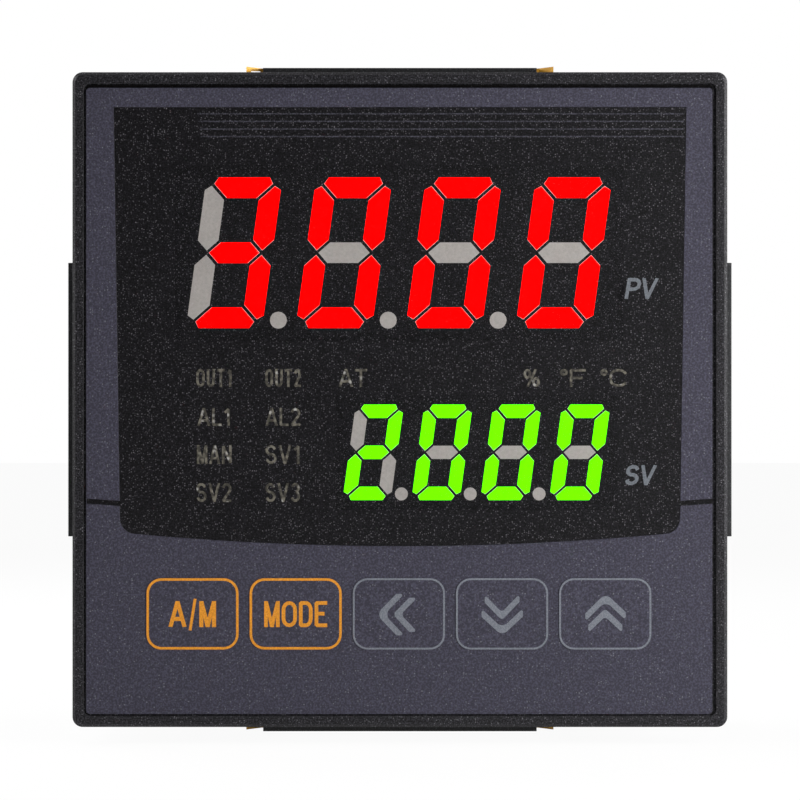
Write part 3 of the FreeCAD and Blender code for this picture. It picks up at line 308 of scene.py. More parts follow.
def box_outline(u, v, wide, tall, radius=0):
    left, right, low, high = u - wide / 2, u + wide / 2, v - tall / 2, v + tall / 2
    return softened([(left, low), (right, low), (right, high), (left, high)], [radius] * 4)


def cut_sheet(outlines, front, thick, soft_edge=0):
    """The mesh of a flat piece: the first outline is its edge and the others are holes."""
    curve = bpy.data.curves.new("outline", "CURVE")
    curve.dimensions = "2D"
    curve.fill_mode = "BOTH"
    for outline in outlines:
        spline = curve.splines.new("POLY")
        spline.points.add(len(outline) - 1)
        for point, (u, v) in zip(spline.points, outline):
            point.co = (u, v, 0, 1)
        spline.use_cyclic_u = True
    curve.extrude = thick / 2 - soft_edge
    curve.bevel_depth = soft_edge
    curve.offset = -soft_edge
    curve.bevel_resolution = 2
    return upright_mesh(curve, front + thick / 2)


def upright_mesh(curve, depth):
    """Turns a flat curve in millimetres into a mesh that stands at this depth behind y = 0."""
    pattern = bpy.data.objects.new("pattern", curve)
    scene.collection.objects.link(pattern)
    bpy.context.view_layer.update()
    mesh = bpy.data.meshes.new_from_object(
        pattern.evaluated_get(bpy.context.evaluated_depsgraph_get())
    )
    bpy.data.objects.remove(pattern)
    bpy.data.curves.remove(curve)
    mesh.transform(Matrix.Rotation(math.radians(90), 4, "X"))
    mesh.transform(Matrix.Translation((0, depth, 0)))
    mesh.transform(Matrix.Scale(mm, 4))
    return mesh


def add_piece(name, meshes, material, body):
    """Joins meshes into one piece that moves with a body."""
    joined = bmesh.new()
    for mesh in meshes:
        joined.from_mesh(mesh)
        bpy.data.meshes.remove(mesh)
    whole = bpy.data.meshes.new(name)
    joined.to_mesh(whole)
    joined.free()
    whole.materials.clear()
    whole.materials.append(material)
    for face in whole.polygons:
        face.material_index = 0
    piece = bpy.data.objects.new(name, whole)
    scene.collection.objects.link(piece)
    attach(piece, body)
    return piece


def millimetres(node):
    low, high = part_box(node)
    return [c * 1000 for c in low], [c * 1000 for c in high]


film_low, film_high = millimetres("front_film")
window_low, window_high = millimetres("display_window")
film_front = window_low[1]
film_play = 0.04
film_half = film_high[0] - film_play
film_thick = 0.35
film_corner = 0.55
film_edge = 0.05
film_shift, film_drop = -0.1, -0.2
# How far the glue sheet is raised, so that its top strip shows above the film as painted shade.
painted_shade_rise = 0.32
glue_setback = 0.5
window_bow = 2.0
window_taper = 0.95
window_corner = 2.3
window_fit = 0.08
bow_steps = 24


def window_outline(grow):
    """Straight sides that lean in downwards and a lower edge that bows out."""
    half_top = window_high[0] + grow
    half_low = half_top - window_taper
    low = window_low[2] + window_bow - grow
    reach = (half_low**2 + window_bow**2) / (2 * window_bow)
    swing = math.asin(half_low / reach)
    corners = [(-half_top, window_high[2] + grow), (-half_low, low)]
    for step in range(1, bow_steps):
        angle = swing * (2 * step / bow_steps - 1)
        sunk = reach * math.cos(angle) - (reach - window_bow)
        corners.append((reach * math.sin(angle), low - sunk))
    corners += [(half_low, low), (half_top, window_high[2] + grow)]
    radii = [0] * len(corners)
    radii[1] = radii[-2] = window_corner
    return softened(corners, radii)


film_print = speckled(
    "blue_grey_film",
    (0.0436, 0.0415, 0.0614),
    (0.165, 0.165, 0.185),
    rough=0.55,
    gloss=0.19,
    pitch=0.00036,
    mottle=0.31,
    rarity=3.0,
)
film = add_piece(
    "printed_film",
    [
        cut_sheet(
            [
                box_outline(film_shift, film_drop, 2 * film_half, 2 * film_half, film_corner),
                window_outline(window_fit),
            ],
            film_front,
            film_thick,
            film_edge,
        )
    ],
    film_print,
    "controller",
)
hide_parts("front_film")
# Real glue under the film, raised so that its top strip lies in the gap above the film as painted
# shade.
glue_painted_shade = speckled(
    "glue_painted_shade", (0.0026, 0.0025, 0.0028), (0.03, 0.03, 0.03), rough=0.6, gloss=0.06
)
add_piece(
    "film_glue_painted_shade",
    [
        cut_sheet(
            [
                box_outline(film_shift, painted_shade_rise, 2 * film_half, 2 * film_half, film_corner),
                window_outline(window_fit + glue_setback),
            ],
            film_front + film_thick,
            film_high[1] - film_front - film_thick,
        )
    ],
    glue_painted_shade,
    "controller",
)

key_names = ("auto_manual", "mode", "shift", "down", "up")
key_wide, key_tall, key_corner = 13.5, 10.45, 2.2
dome_front = film_low[1]
dome_margin = 0.1
dome_edge = 0.06
key_middles = []
for key_name in key_names:
    low, high = millimetres(f"key_{key_name}")
    key_middles.append(((low[0] + high[0]) / 2, (low[2] + high[2]) / 2))


def on_key(piece):
    """The film gives over a key. The piece that lies over a key gets a mesh of its own."""
    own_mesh(piece)


for key_name, (u, v) in zip(key_names, key_middles):
    dome = add_piece(
        f"film_dome_{key_name}",
        [
            cut_sheet(
                [box_outline(u, v, key_wide + dome_margin, key_tall + dome_margin, key_corner)],
                dome_front,
                film_front - dome_front,
                dome_edge,
            )
        ],
        film_print,
        "controller",
    )
    on_key(dome)


# Display window: a flat pane of black-smoked acrylic, flush with the film. It looks black
# except over the two displays, where it is clear enough for their bars to shine through.

pane = speckled(
    "smoked_pane",
    (0.0036, 0.0032, 0.0044),
    (0.175, 0.165, 0.185),
    rough=0.5,
    gloss=0.2,
    mottle=1.1,
    rarity=1.6,
    dents=0.08,
)
clear_share = 0.95
clear_margin = 0.6


def inside_display(tree, node):
    """1 inside a display's outline, seen from the front, and 0 elsewhere."""
    low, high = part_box(node)
    within = []
    for letter, axis in (("X", 0), ("Z", 2)):
        middle = (low[axis] + high[axis]) / 2
        reach = (high[axis] - low[axis]) / 2 - clear_margin * mm
        within.append(combined(tree, "COMPARE", position(tree, letter), middle, reach))
    return combined(tree, "MULTIPLY", *within)


tree = pane.node_tree
over_display = combined(
    tree, "MAXIMUM", inside_display(tree, "pv_display"), inside_display(tree, "sv_display")
)
not_seen = either_ray(tree, "Is Shadow Ray", "Is Diffuse Ray")
clear = combined(tree, "MAXIMUM", over_display, not_seen)
cover = mapped(tree, clear, low=1.0, high=1 - clear_share)
tree.links.new(cover, tree.nodes["Principled BSDF"].inputs["Alpha"])
finish_nodes(pane, "display_window")


# Digits: black reflector blocks whose cells are filled with milky bars. Light-emitting chips
# behind them light the process value red and the set value green; bars that are off look grey.

# The blocks' ground is a little brighter than the pane's: painted light that makes up for the
# light they lose behind the pane.
block_plastic = speckled(
    "black_reflector",
    (0.0046, 0.0042, 0.0054),
    (0.18, 0.17, 0.19),
    rough=0.5,
    gloss=0.2,
    mottle=1.1,
    rarity=1.6,
)
finish_nodes(block_plastic, "pv_display", "sv_display")


def milky(name, colour, glow=0.0):
    """Milky resin with faint clouds, lit from inside when it glows."""
    material, tree, shader, place = new_finish(name)
    shader.inputs["Roughness"].default_value = 0.55
    shader.inputs["Specular IOR Level"].default_value = 0.0 if glow else 0.2
    clouds = cloudy(tree, place, 2600)
    tint = shaded(tree, clouds, 0.3, dimmed(colour, 0.93), 0.7, dimmed(colour, 1.07))
    tree.links.new(tint, shader.inputs["Base Color"])
    if glow:
        shader.inputs["Emission Color"].default_value = (*colour, 1)
        shader.inputs["Emission Strength"].default_value = glow
    return material


bar_resin = milky("bar_resin_off", (0.385, 0.36, 0.34))
finish_nodes(bar_resin, "pv_bars_unlit", "sv_bars_unlit", "pv_bars_lit", "sv_bars_lit")
red_light = milky("bar_resin_red", (1.0, 0.0, 0.0), glow=1.6)
green_light = milky("bar_resin_green", (0.094, 1.0, 0.0), glow=1.35)
lit_bars = {"0": "abcdef", "2": "abged", "3": "abgcd"}
digit_lean = math.tan(math.radians(7.8))
light_proud = 0.02
light_thick = 0.015


def bar_outlines(wide, tall, bar, corner, gap):
    """The seven bars of an upright digit about its middle."""
    half_w, half_h, step, cut = wide / 2, tall / 2, gap / math.sqrt(2), corner / 2
    top = [
        (-half_w + cut + step, half_h - cut),
        (-half_w + corner, half_h),
        (half_w - corner, half_h),
        (half_w - cut - step, half_h - cut),
        (half_w - bar - step, half_h - bar),
        (-half_w + bar + step, half_h - bar),
    ]
    upper_left = [
        (-half_w, half_h - corner),
        (-half_w + cut, half_h - cut - step),
        (-half_w + bar, half_h - bar - step),
        (-half_w + bar, bar / 2 + step),
        (-half_w + bar / 2, step),
        (-half_w, bar / 2 + step),
    ]
    middle = [
        (-half_w + bar / 2 + step, 0),
        (-half_w + bar + step, bar / 2),
        (half_w - bar - step, bar / 2),
        (half_w - bar / 2 - step, 0),
        (half_w - bar - step, -bar / 2),
        (-half_w + bar + step, -bar / 2),
    ]
    return {
        "a": top,
        "f": upper_left,
        "b": [(-u, v) for u, v in upper_left],
        "e": [(u, -v) for u, v in upper_left],
        "c": [(-u, -v) for u, v in upper_left],
        "d": [(u, -v) for u, v in top],
        "g": middle,
    }


def light_digits(name, reading, wide, tall, bar, corner, gap, pitch, material):
    """The lit faces of the bars: they leave a thin grey rim of resin at the mitred ends."""
    low, high = millimetres(f"{name}_display")
    middle_u, middle_v = (low[0] + high[0]) / 2, (low[2] + high[2]) / 2
    meshes = []
    for place, figure in enumerate(reading):
        digit_u = middle_u + (place - (len(reading) - 1) / 2) * pitch
        outlines = bar_outlines(wide, tall, bar, corner, gap)
        for letter in lit_bars[figure]:
            outline = [(digit_u + u + digit_lean * v, middle_v + v) for u, v in outlines[letter]]
            meshes.append(cut_sheet([outline], low[1] - light_proud, light_thick))
    add_piece(f"{name}_light", meshes, material, "controller")


light_digits(
    "pv",
    "3000",
    wide=11.14,
    tall=22.1,
    bar=3.02,
    corner=1.85,
    gap=0.56,
    pitch=16.12,
    material=red_light,
)
light_digits(
    "sv",
    "2000",
    wide=7.06,
    tall=14.0,
    bar=1.95,
    corner=1.2,
    gap=0.42,
    pitch=10.1,
    material=green_light,
)


# Printing on the window: four fine stripes at its top, the names of the two values, and the
# legends of the lamps that hide behind the pane, in ink a hundredth of a millimetre thick.


sharp_turn = 0.8


def pen_line(points, thick, closed):
    """The outlines of a line of even width, whose sharp outer corners are cut flat."""
    half = thick / 2
    count = len(points)
    points = [Vector(point) for point in points]
    left, right = [], []
    for place, point in enumerate(points):
        before = point - points[place - 1]
        after = points[(place + 1) % count] - point
        if not closed and place == 0:
            before = after
        if not closed and place == count - 1:
            after = before
        before, after = before.normalized(), after.normalized()
        turn = before.x * after.y - before.y * after.x
        first, last = Vector((-before.y, before.x)), Vector((-after.y, after.x))
        middle = (first + last).normalized()
        for way, side in ((1, left), (-1, right)):
            if way * turn < 0 and middle.dot(first) < sharp_turn:
                side += [tuple(point + way * half * first), tuple(point + way * half * last)]
            else:
                side.append(tuple(point + way * half / middle.dot(first) * middle))
    if closed:
        return [left, right]
    return [left + right[::-1]]


def bow(u, v, wide, tall, start, end, steps=8):
    """Points on part of an oval. Angles are in degrees, from the right and turning up."""
    angles = [math.radians(start + (end - start) * step / steps) for step in range(steps + 1)]
    return [(u + wide / 2 * math.cos(a), v + tall / 2 * math.sin(a)) for a in angles]


# Each letter has its width and its lines on a square of 1 by 1. A closed line is marked True.
ring_line = bow(0.5, 0.7, 1, 0.6, 0, 180) + bow(0.5, 0.3, 1, 0.6, 180, 360)
letters = {
    "A": (1.08, ([(0, 0), (0.5, 1.1), (1, 0)], False), ([(0.19, 0.28), (0.81, 0.28)], False)),
    "C": (1.0, (bow(0.5, 0.68, 1, 0.64, 15, 180) + bow(0.5, 0.32, 1, 0.64, 180, 345), False)),
    "D": (
        0.9,
        (
            [(0, 0), (0, 1)]
            + bow(0.5, 0.68, 1, 0.64, 90, 0)
            + bow(0.5, 0.32, 1, 0.64, 0, -90),
            True,
        ),
    ),
    "E": (0.8, ([(1, 1), (0, 1), (0, 0), (1, 0)], False), ([(0, 0.52), (0.9, 0.52)], False)),
    "F": (0.75, ([(1, 1), (0, 1), (0, 0)], False), ([(0, 0.5), (0.85, 0.5)], False)),
    "L": (0.75, ([(0, 1), (0, 0), (1, 0)], False)),
    "M": (1.06, ([(0, 0), (0, 1.2), (0.5, -0.08), (1, 1.2), (1, 0)], False)),
    "N": (0.95, ([(0, 0), (0, 1), (1, 0), (1, 1)], False)),
    "O": (1.04, (ring_line, True)),
    "P": (
        0.9,
        ([(0, 0), (0, 1)], False),
        ([(0, 1)] + bow(0.55, 0.73, 0.9, 0.54, 90, -90) + [(0, 0.46)], False),
    ),
    "S": (
        0.95,
        (bow(0.48, 0.76, 0.92, 0.48, 12, 262) + bow(0.52, 0.26, 0.96, 0.52, 82, -168), False),
    ),
    "T": (0.9, ([(0, 1), (1, 1)], False), ([(0.5, 1), (0.5, 0)], False)),
    "U": (0.98, ([(0, 1)] + bow(0.5, 0.3, 1, 0.6, 180, 360) + [(1, 1)], False)),
    "V": (1.02, ([(0, 1), (0.5, -0.08), (1, 1)], False)),
    "0": (0.85, (ring_line, True)),
    "1": (0.42, ([(0, 0.78), (0.95, 1), (0.95, 0)], False)),
    "2": (0.85, (bow(0.5, 0.72, 1, 0.56, 165, -32) + [(0, 0), (1, 0)], False)),
    "3": (
        0.85,
        (bow(0.47, 0.77, 0.9, 0.46, 160, -80), False),
        (bow(0.47, 0.27, 1, 0.54, 80, -165), False),
    ),
    "4": (0.95, ([(0.74, 0), (0.74, 1), (0, 0.27), (1, 0.27)], False)),
    "5": (0.85, ([(0.92, 1), (0.12, 1), (0.06, 0.5)] + bow(0.5, 0.32, 1, 0.64, 125, -155), False)),
    "6": (
        0.87,
        (bow(0.5, 0.3, 1, 0.6, 0, 360, 14)[1:], True),
        ([(0, 0.35), (0.06, 0.68)] + bow(0.55, 0.7, 0.9, 0.6, 130, 35), False),
    ),
    "7": (0.85, ([(0, 1), (1, 1), (0.35, 0)], False)),
    "8": (
        0.87,
        (bow(0.5, 0.76, 0.88, 0.48, 0, 360, 14)[1:], True),
        (bow(0.5, 0.26, 1, 0.52, 0, 360, 14)[1:], True),
    ),
    "9": (
        0.87,
        (bow(0.5, 0.7, 1, 0.6, 0, 360, 14)[1:], True),
        ([(1, 0.65), (0.94, 0.32)] + bow(0.45, 0.3, 0.9, 0.6, -50, -145), False),
    ),
    "/": (0.42, ([(0, -0.24), (1, 1.2)], False)),
    "%": (
        1.45,
        (bow(0.2, 0.76, 0.36, 0.48, 0, 360, 12)[1:], True),
        (bow(0.8, 0.24, 0.36, 0.48, 0, 360, 12)[1:], True),
        ([(0.26, 0), (0.74, 1)], False),
    ),
    "°": (0.3, (bow(0.5, 0.86, 1, 0.28, 0, 360, 12)[1:], True)),
}


ink_thick = 0.012
line_step = 0.002
slash_share = 0.7
edge_reach = 0.01


def run_out(end, inner, extra, box):
    """A line that ends at an edge of its letter's square runs on to the letter's own edge."""
    way = (Vector(end) - Vector(inner)).normalized()
    upright = abs(way.y) > 0.5
    low, high = (box[1], box[3]) if upright else (box[0], box[2])
    spot = end[1] if upright else end[0]
    if min(abs(spot - low), abs(spot - high)) > edge_reach:
        return end
    return tuple(Vector(end) + way * (extra / abs(way.y) if upright else extra))


def print_words(words, left, low, right, high, front, thick, gap, lean=0.0):
    """The meshes of printed words that fill this box, in millimetres.

    A slash is thinner and runs past the box. Each further line of a letter stands a little
    nearer, so that no two lie in one plane.
    """
    half = thick / 2
    tall = high - low - thick
    room = right - left - lean * (high - low) - len(words) * thick - (len(words) - 1) * gap
    unit = room / sum(letters[letter][0] for letter in words)
    meshes = []
    start = left + half
    for letter in words:
        wide, *lines = letters[letter]
        box = (start, low + half, start + wide * unit, high - half)
        for place, (line, closed) in enumerate(lines):
            spots = [(start + u * wide * unit, low + half + v * tall) for u, v in line]
            if not closed:
                spots[0] = run_out(spots[0], spots[1], half, box)
                spots[-1] = run_out(spots[-1], spots[-2], half, box)
            if letter == "/":
                outlines = pen_line(spots, slash_share * thick, closed)
            else:
                outlines = pen_line(spots, thick, closed)
                outlines = [[(u, min(max(v, low), high)) for u, v in part] for part in outlines]
            outlines = [[(u + lean * (v - low), v) for u, v in part] for part in outlines]
            meshes.append(cut_sheet(outlines, front - line_step * place, ink_thick))
        start += wide * unit + thick + gap
    return meshes


ink_front = film_front - ink_thick
grey_ink = speckled(
    "grey_blue_ink", (0.124, 0.136, 0.153), (0.18, 0.19, 0.21), rough=0.6, gloss=0.2, mottle=0.15
)
# The faint ink's rare pale flecks are painted glints; its mottle is the print's own uneven tone.
faint_ink_and_glints = speckled(
    "faint_ink_and_glints",
    (0.084, 0.077, 0.062),
    (0.40, 0.39, 0.37),
    rough=0.6,
    gloss=0.2,
    pitch=0.0009,
    rarity=2,
)
stripe_ink = speckled(
    "stripe_ink", (0.036, 0.035, 0.046), (0.10, 0.10, 0.11), rough=0.6, gloss=0.2
)
stripe_left, stripe_right, stripe_tall = -29.65, 41.6, 0.2
stripe_feet = (41.79, 40.68, 39.56, 38.46)
stripe_setback = 0.14
stripes = []
for place, low in enumerate(stripe_feet):
    left = stripe_left + stripe_setback * place
    high = low + stripe_tall
    outline = [(left, low), (stripe_right, low), (stripe_right, high), (left, high)]
    stripes.append(cut_sheet([outline], ink_front, ink_thick))
add_piece("window_stripes", stripes, stripe_ink, "controller")
value_pen, value_gap, value_lean = 0.52, 0.1, 0.17
value_names = [
    mesh
    for words, left, low, right, high in (
        ("PV", 32.9, 14.75, 37.9, 17.83),
        ("SV", 32.75, -12.55, 37.65, -9.57),
    )
    for mesh in print_words(
        words, left, low, right, high, ink_front, value_pen, value_gap, value_lean
    )
]
add_piece("value_names", value_names, grey_ink, "controller")

# Each row of legends has its foot and its head, and each word its left and its right end.
legend_pen, legend_gap = 0.37, 0.3
legend_rows = (
    (1.85, 4.49, (("OUT1", -29.85, -24.66), ("OUT2", -19.74, -14.52), ("AT", -8.94, -4.83))),
    (1.85, 4.49, (("%", 18.08, 20.57), ("°F", 23.44, 27.25), ("°C", 29.38, 33.35))),
    (-3.87, -1.23, (("AL1", -29.65, -24.9), ("AL2", -19.65, -14.6))),
    (-9.44, -6.66, (("MAN", -29.75, -24.66), ("SV1", -19.74, -14.7))),
    (-15.01, -12.23, (("SV2", -29.85, -24.7), ("SV3", -19.74, -14.6))),
)
legends = [
    mesh
    for low, high, row in legend_rows
    for words, left, right in row
    for mesh in print_words(words, left, low, right, high, ink_front, legend_pen, legend_gap)
]
add_piece("lamp_legends", legends, faint_ink_and_glints, "controller")


# Printing on the film: a dark line on each side at the window's foot, a line round each key and
# the key's mark. Orange for the first two keys and grey for the three that change the value.

orange_ink = speckled(
    "orange_ink", (0.63, 0.248, 0.020), (0.75, 0.35, 0.08), rough=0.6, gloss=0.2, mottle=0.12
)
line_ink = speckled(
    "grey_line_ink", (0.158, 0.169, 0.197), (0.21, 0.22, 0.25), rough=0.6, gloss=0.2, mottle=0.15
)
dark_ink = speckled(
    "dark_line_ink", (0.0040, 0.0036, 0.0046), (0.08, 0.08, 0.085), rough=0.5, gloss=0.15, rarity=2
)
side_line_inner, side_line_head = 41.0, -14.5
side_line_tall, side_line_fall = 0.75, 0.35
side_lines = []
for way in (-1, 1):
    outline = [
        (way * film_half, side_line_head),
        (way * film_half, side_line_head - side_line_tall),
        (way * side_line_inner, side_line_head - side_line_tall - side_line_fall),
        (way * side_line_inner, side_line_head - side_line_fall),
    ]
    side_lines.append(cut_sheet([outline], ink_front, ink_thick))
add_piece("side_lines", side_lines, dark_ink, "controller")

# Each mark's bands run from a bent line to its copy at the same shift. A band has the three
# points of its line about the key's middle, and the radius of its bend.
chevrons = {
    "shift": (
        (1.17, 0),
        (((-0.38, 2.93), (-3.29, -0.07), (-0.38, -3.13)), 1.1),
        (((1.52, 2.37), (-0.89, -0.07), (1.52, -2.63)), 0.65),
    ),
    "down": (
        (0, 1.17),
        (((-3.0, -0.44), (0.03, -3.22), (3.05, -0.38)), 1.1),
        (((-2.55, 1.68), (-0.04, -0.94), (2.56, 1.75)), 0.55),
    ),
    "up": (
        (0, -1.17),
        (((-2.94, 0.05), (0.06, 3.03), (3.0, 0.25)), 1.1),
        (((-2.48, -1.6), (-0.03, 0.77), (2.51, -1.6)), 0.55),
    ),
}
chevron_ends = 0.22
key_front = dome_front - ink_thick


def chevron_mesh(u, v, bend, radius, shift):
    """A bent band between one line and its copy, shifted sideways or up, with soft corners."""
    line = [(u + across, v + up) for across, up in bend]
    copy = [(across + shift[0], up + shift[1]) for across, up in reversed(line)]
    radii = [chevron_ends, radius, chevron_ends] * 2
    return cut_sheet([softened(line + copy, radii)], key_front, ink_thick)


# Each word has half its width, the width of its lines and the gap between its letters.
key_words = {"auto_manual": ("A/M", 3.45, 0.6, 0.3), "mode": ("MODE", 4.62, 0.54, 0.29)}
word_foot, word_head = -1.94, 1.87
word_line, mark_line = 0.37, 0.27
for key_name, (u, v) in zip(key_names, key_middles):
    if key_name in key_words:
        ink, line = orange_ink, word_line
        words, half, thick, gap = key_words[key_name]
        marks = print_words(
            words, u - half, v + word_foot, u + half, v + word_head, key_front, thick, gap
        )
    else:
        ink, line = line_ink, mark_line
        shift, *bends = chevrons[key_name]
        marks = [chevron_mesh(u, v, bend, radius, shift) for bend, radius in bends]
    inner_wide, inner_tall = key_wide - 2 * line, key_tall - 2 * line
    ring = cut_sheet(
        [
            box_outline(u, v, key_wide, key_tall, key_corner),
            box_outline(u, v, inner_wide, inner_tall, key_corner - line),
        ],
        key_front,
        ink_thick,
    )
    print_piece = add_piece(f"key_print_{key_name}", [ring, *marks], ink, "controller")
    on_key(print_piece)


# Keys and their switches: black caps of hard plastic behind the film, each on the button of a
# small switch with a black body that is soldered to the display board.

key_plastic = speckled(
    "key_plastic", (0.028, 0.028, 0.031), (0.06, 0.06, 0.065), rough=0.5, gloss=0.35
)
button_plastic = speckled(
    "button_plastic", (0.30, 0.018, 0.015), (0.42, 0.04, 0.03), rough=0.4, gloss=0.4
)
switch_body_plastic = speckled(
    "switch_body_plastic", (0.02, 0.02, 0.022), (0.05, 0.05, 0.052), rough=0.45, gloss=0.4
)
for key_name in key_names:
    finish_nodes(key_plastic, f"key_{key_name}")
    finish_nodes(button_plastic, f"switch_plunger_{key_name}")
finish_nodes(switch_body_plastic, "key_switches")


# Light shield and indicator lamps: a black moulding with a cell for each small milky lamp, so
# that its light reaches only its own legend. The lamps are soldered to the display board.

lamp_lens = milky("lamp_lens", (0.62, 0.60, 0.45))
finish_nodes(block_plastic, "light_shield")
finish_nodes(lamp_lens, "indicator_lamps")


# Gasket: a flat ring of black foam rubber, cut from sheet and slipped over the case. The clamp
# brackets squeeze it between the bezel and the panel.

foam_rubber = speckled(
    "foam_rubber",
    (0.010, 0.010, 0.0105),
    (0.035, 0.035, 0.037),
    rough=0.85,
    gloss=0.2,
    pitch=0.0005,
)
finish_nodes(foam_rubber, "panel_gasket")


# Case: a square tube with a rear wall, moulded in dark grey flame-proof plastic with slots for
# air, and on each side a channel with a ratchet rack in which a clamp bracket slides.

case_plastic = speckled(
    "case_plastic",
    (0.0215, 0.0215, 0.023),
    (0.085, 0.085, 0.09),
    rough=0.55,
    gloss=0.35,
    pitch=0.00034,
    mottle=0.3,
    dents=0.07,
    edge=0.0003,
)
finish_nodes(case_plastic, "case")


# Clamp brackets and leaf springs: black mouldings that click along the racks and press the
# bezel to the panel, each with a bent strip of yellow-plated spring steel in its front slot.

bracket_plastic = speckled(
    "bracket_plastic",
    (0.0205, 0.0208, 0.0228),
    (0.13, 0.13, 0.135),
    rough=0.5,
    gloss=0.35,
    mottle=0.4,
    dents=0.06,
    edge=0.00025,
)
spring_plate = speckled(
    "yellow_plated_steel",
    (0.80, 0.40, 0.035),
    (0.92, 0.55, 0.12),
    rough=0.4,
    gloss=0.5,
    pitch=0.0009,
    mottle=0.12,
)
spring_plate.node_tree.nodes["Principled BSDF"].inputs["Metallic"].default_value = 0.2
for side in ("top", "right", "bottom", "left"):
    finish_nodes(bracket_plastic, f"bracket_{side}")
    finish_nodes(spring_plate, f"leaf_spring_{side}")


# Terminal blocks: black mouldings with twelve cells each. In every cell a plated screw clamps
# the wire on a nickel-plated brass plate, and the number of the cell stands beside it.

terminal_plastic = speckled(
    "terminal_plastic",
    (0.013, 0.013, 0.014),
    (0.07, 0.07, 0.075),
    rough=0.45,
    gloss=0.4,
    edge=0.0002,
)
finish_nodes(terminal_plastic, "terminal_block_left", "terminal_block_right")


def plated(name, colour, rough, brush):
    """Plated metal with fine marks from rolling and handling, drawn out by the brush."""
    material, tree, shader, place = new_finish(name)
    shader.inputs["Metallic"].default_value = 1.0
    drawn = tree.nodes.new("ShaderNodeMapping")
    drawn.inputs["Scale"].default_value = brush
    tree.links.new(place, drawn.inputs["Vector"])
    marks = cloudy(tree, drawn.outputs["Vector"], 1500, detail=3)
    tone = shaded(tree, marks, 0.3, dimmed(colour, 0.8), 0.7, colour)
    tree.links.new(tone, shader.inputs["Base Color"])
    smooth = mapped(tree, marks, low=rough - 0.07, high=rough + 0.1)
    tree.links.new(smooth, shader.inputs["Roughness"])
    return material


nickel = plated("nickel_plate", (0.62, 0.60, 0.55), rough=0.34, brush=(1, 0.2, 0.2))
screw_steel = plated("zinc_screw", (0.58, 0.59, 0.60), rough=0.3, brush=(1, 1, 1))
finish_nodes(nickel, "terminal_plates_left", "terminal_plates_right")
shank_half, shank_tip, tip_tall = 1.45, 1.2, 0.4


def pan_head_screw(u, v, head_low, head_high, wide, shank_low):
    """A pan-head screw whose head faces the rear."""
    shape = bmesh.new()
    rise = head_high - head_low
    profile = [
        (0, shank_low),
        (shank_tip, shank_low),
        (shank_half, shank_low + tip_tall),
        (shank_half, head_low),
        (wide / 2, head_low),
        (wide / 2, head_low + 0.45 * rise),
        (wide * 0.47, head_low + 0.68 * rise),
        (wide * 0.40, head_low + 0.86 * rise),
        (wide * 0.29, head_low + 0.96 * rise),
        (wide * 0.15, head_high),
        (0, head_high),
    ]
    corners = [shape.verts.new((r, y, 0)) for r, y in profile]
    edges = [shape.edges.new(pair) for pair in zip(corners, corners[1:])]
    bmesh.ops.spin(
        shape,
        geom=corners + edges,
        cent=(0, 0, 0),
        axis=(0, 1, 0),
        steps=24,
        angle=2 * math.pi,
        use_merge=True,
    )
    bmesh.ops.remove_doubles(shape, verts=shape.verts, dist=0.001)
    mesh = bpy.data.meshes.new("screw")
    shape.to_mesh(mesh)
    shape.free()
    mesh.transform(Matrix.Translation((u, 0, v)))
    mesh.transform(Matrix.Scale(mm, 4))
    for face in mesh.polygons:
        face.use_smooth = True
    return mesh


# The cross in each screw head is a thin dark sheet laid on the head: painted shade where the cross
# recess lies.
cross_recess_painted_shade = speckled(
    "recess_shadow", (0.012, 0.012, 0.012), (0.03, 0.03, 0.03), rough=0.6, gloss=0.3
)
number_ink = speckled("number_ink", (0.42, 0.42, 0.42), (0.6, 0.6, 0.6), rough=0.6, gloss=0.2)
terminal_count = 12
terminal_end_wall = 1.6
head_fit = 0.02
cross_long, cross_wide, cross_deep = 3.0, 0.62, 0.05
number_tall, number_pen, number_gap, figure_wide = 2.1, 0.3, 0.3, 1.3
number_aside = 3.6
case_back = millimetres("case")[1][1]


def print_number(number, u, v):
    """A number on the case's rear wall, which reads the right way round from behind."""
    wide = (number_pen + number_gap) * len(number) - number_gap
    wide += sum(figure_wide * letters[figure][0] for figure in number)
    meshes = print_words(
        number,
        -u - wide / 2,
        v - number_tall / 2,
        -u + wide / 2,
        v + number_tall / 2,
        -case_back - ink_thick,
        number_pen,
        number_gap,
    )
    for mesh in meshes:
        mesh.transform(Matrix.Rotation(math.pi, 4, "Z"))
    return meshes


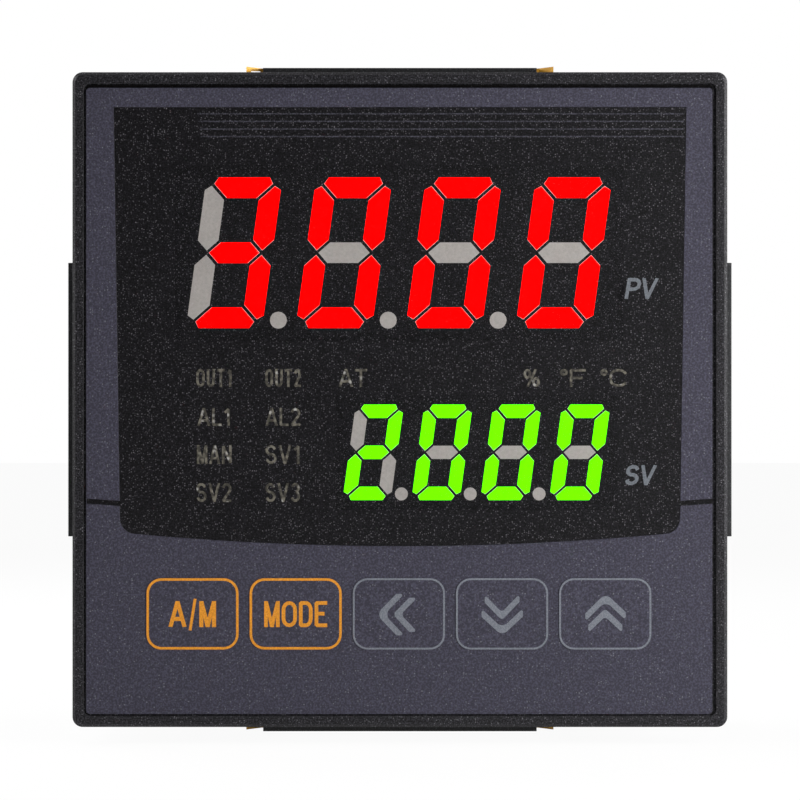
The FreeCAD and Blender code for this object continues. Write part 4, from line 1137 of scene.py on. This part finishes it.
for side_name, first_number, toward_middle in (("left", 1, 1), ("right", 13, -1)):
    low, high = millimetres(f"terminal_screws_{side_name}")
    plate_back = millimetres(f"terminal_plates_{side_name}")[1][1]
    block_low, block_high = millimetres(f"terminal_block_{side_name}")
    block_edge = block_high[0] if side_name == "left" else block_low[0]
    pitch = (block_high[2] - block_low[2] - 2 * terminal_end_wall) / terminal_count
    middle = (low[0] + high[0]) / 2
    head_wide = high[0] - low[0]
    screws, crosses, numbers = [], [], []
    for place in range(terminal_count):
        height = block_low[2] + terminal_end_wall + (place + 0.5) * pitch
        screws.append(
            pan_head_screw(middle, height, plate_back, high[1] - head_fit, head_wide, low[1])
        )
        # Each cross is two thin dark bars on the head, painted shade of its recess.
        for wide, tall in ((cross_long, cross_wide), (cross_wide, cross_long)):
            outline = box_outline(middle, height, wide, tall)
            crosses.append(cut_sheet([outline], high[1] - cross_deep, cross_deep))
        number = str(first_number + terminal_count - 1 - place)
        numbers += print_number(number, block_edge + toward_middle * number_aside, height)
    piece = add_piece(
        f"pan_screws_{side_name}", screws, screw_steel, "controller"
    )
    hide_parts(f"terminal_screws_{side_name}")
    add_piece(
        f"screw_cross_painted_shade_{side_name}", crosses, cross_recess_painted_shade, "controller"
    )
    add_piece(
        f"terminal_numbers_{side_name}", numbers, number_ink, "controller"
    )


# Inside the case: green glass-fibre boards with a solder mask, standing behind the display
# board, and on them the transformer, relays, capacitors, plugs and the controller chip.

board_green = speckled(
    "green_board", (0.008, 0.085, 0.035), (0.03, 0.16, 0.07), rough=0.4, gloss=0.5, pitch=0.0009
)
plug_plastic = speckled(
    "plug_plastic", (0.55, 0.53, 0.46), (0.66, 0.64, 0.57), rough=0.5, gloss=0.4
)
chip_resin = speckled(
    "chip_resin", (0.014, 0.014, 0.015), (0.04, 0.04, 0.04), rough=0.5, gloss=0.35
)
winding_tape = speckled(
    "winding_tape", (0.60, 0.42, 0.06), (0.72, 0.55, 0.12), rough=0.4, gloss=0.5, pitch=0.0008
)
relay_shell = speckled(
    "relay_shell", (0.012, 0.04, 0.12), (0.03, 0.08, 0.19), rough=0.4, gloss=0.4
)
capacitor_sleeve = speckled(
    "capacitor_sleeve", (0.012, 0.012, 0.03), (0.03, 0.03, 0.06), rough=0.35, gloss=0.5
)
core_steel = plated("core_steel", (0.30, 0.29, 0.28), rough=0.45, brush=(1, 6, 1))
finish_nodes(board_green, "display_board", "power_board", "signal_board")
finish_nodes(screw_steel, "display_board_screws")
finish_nodes(plug_plastic, "board_connectors")
finish_nodes(chip_resin, "controller_chip")
finish_nodes(core_steel, "transformer_core")
finish_nodes(winding_tape, "transformer_winding")
finish_nodes(relay_shell, "output_relays")
finish_nodes(capacitor_sleeve, "filter_capacitors")
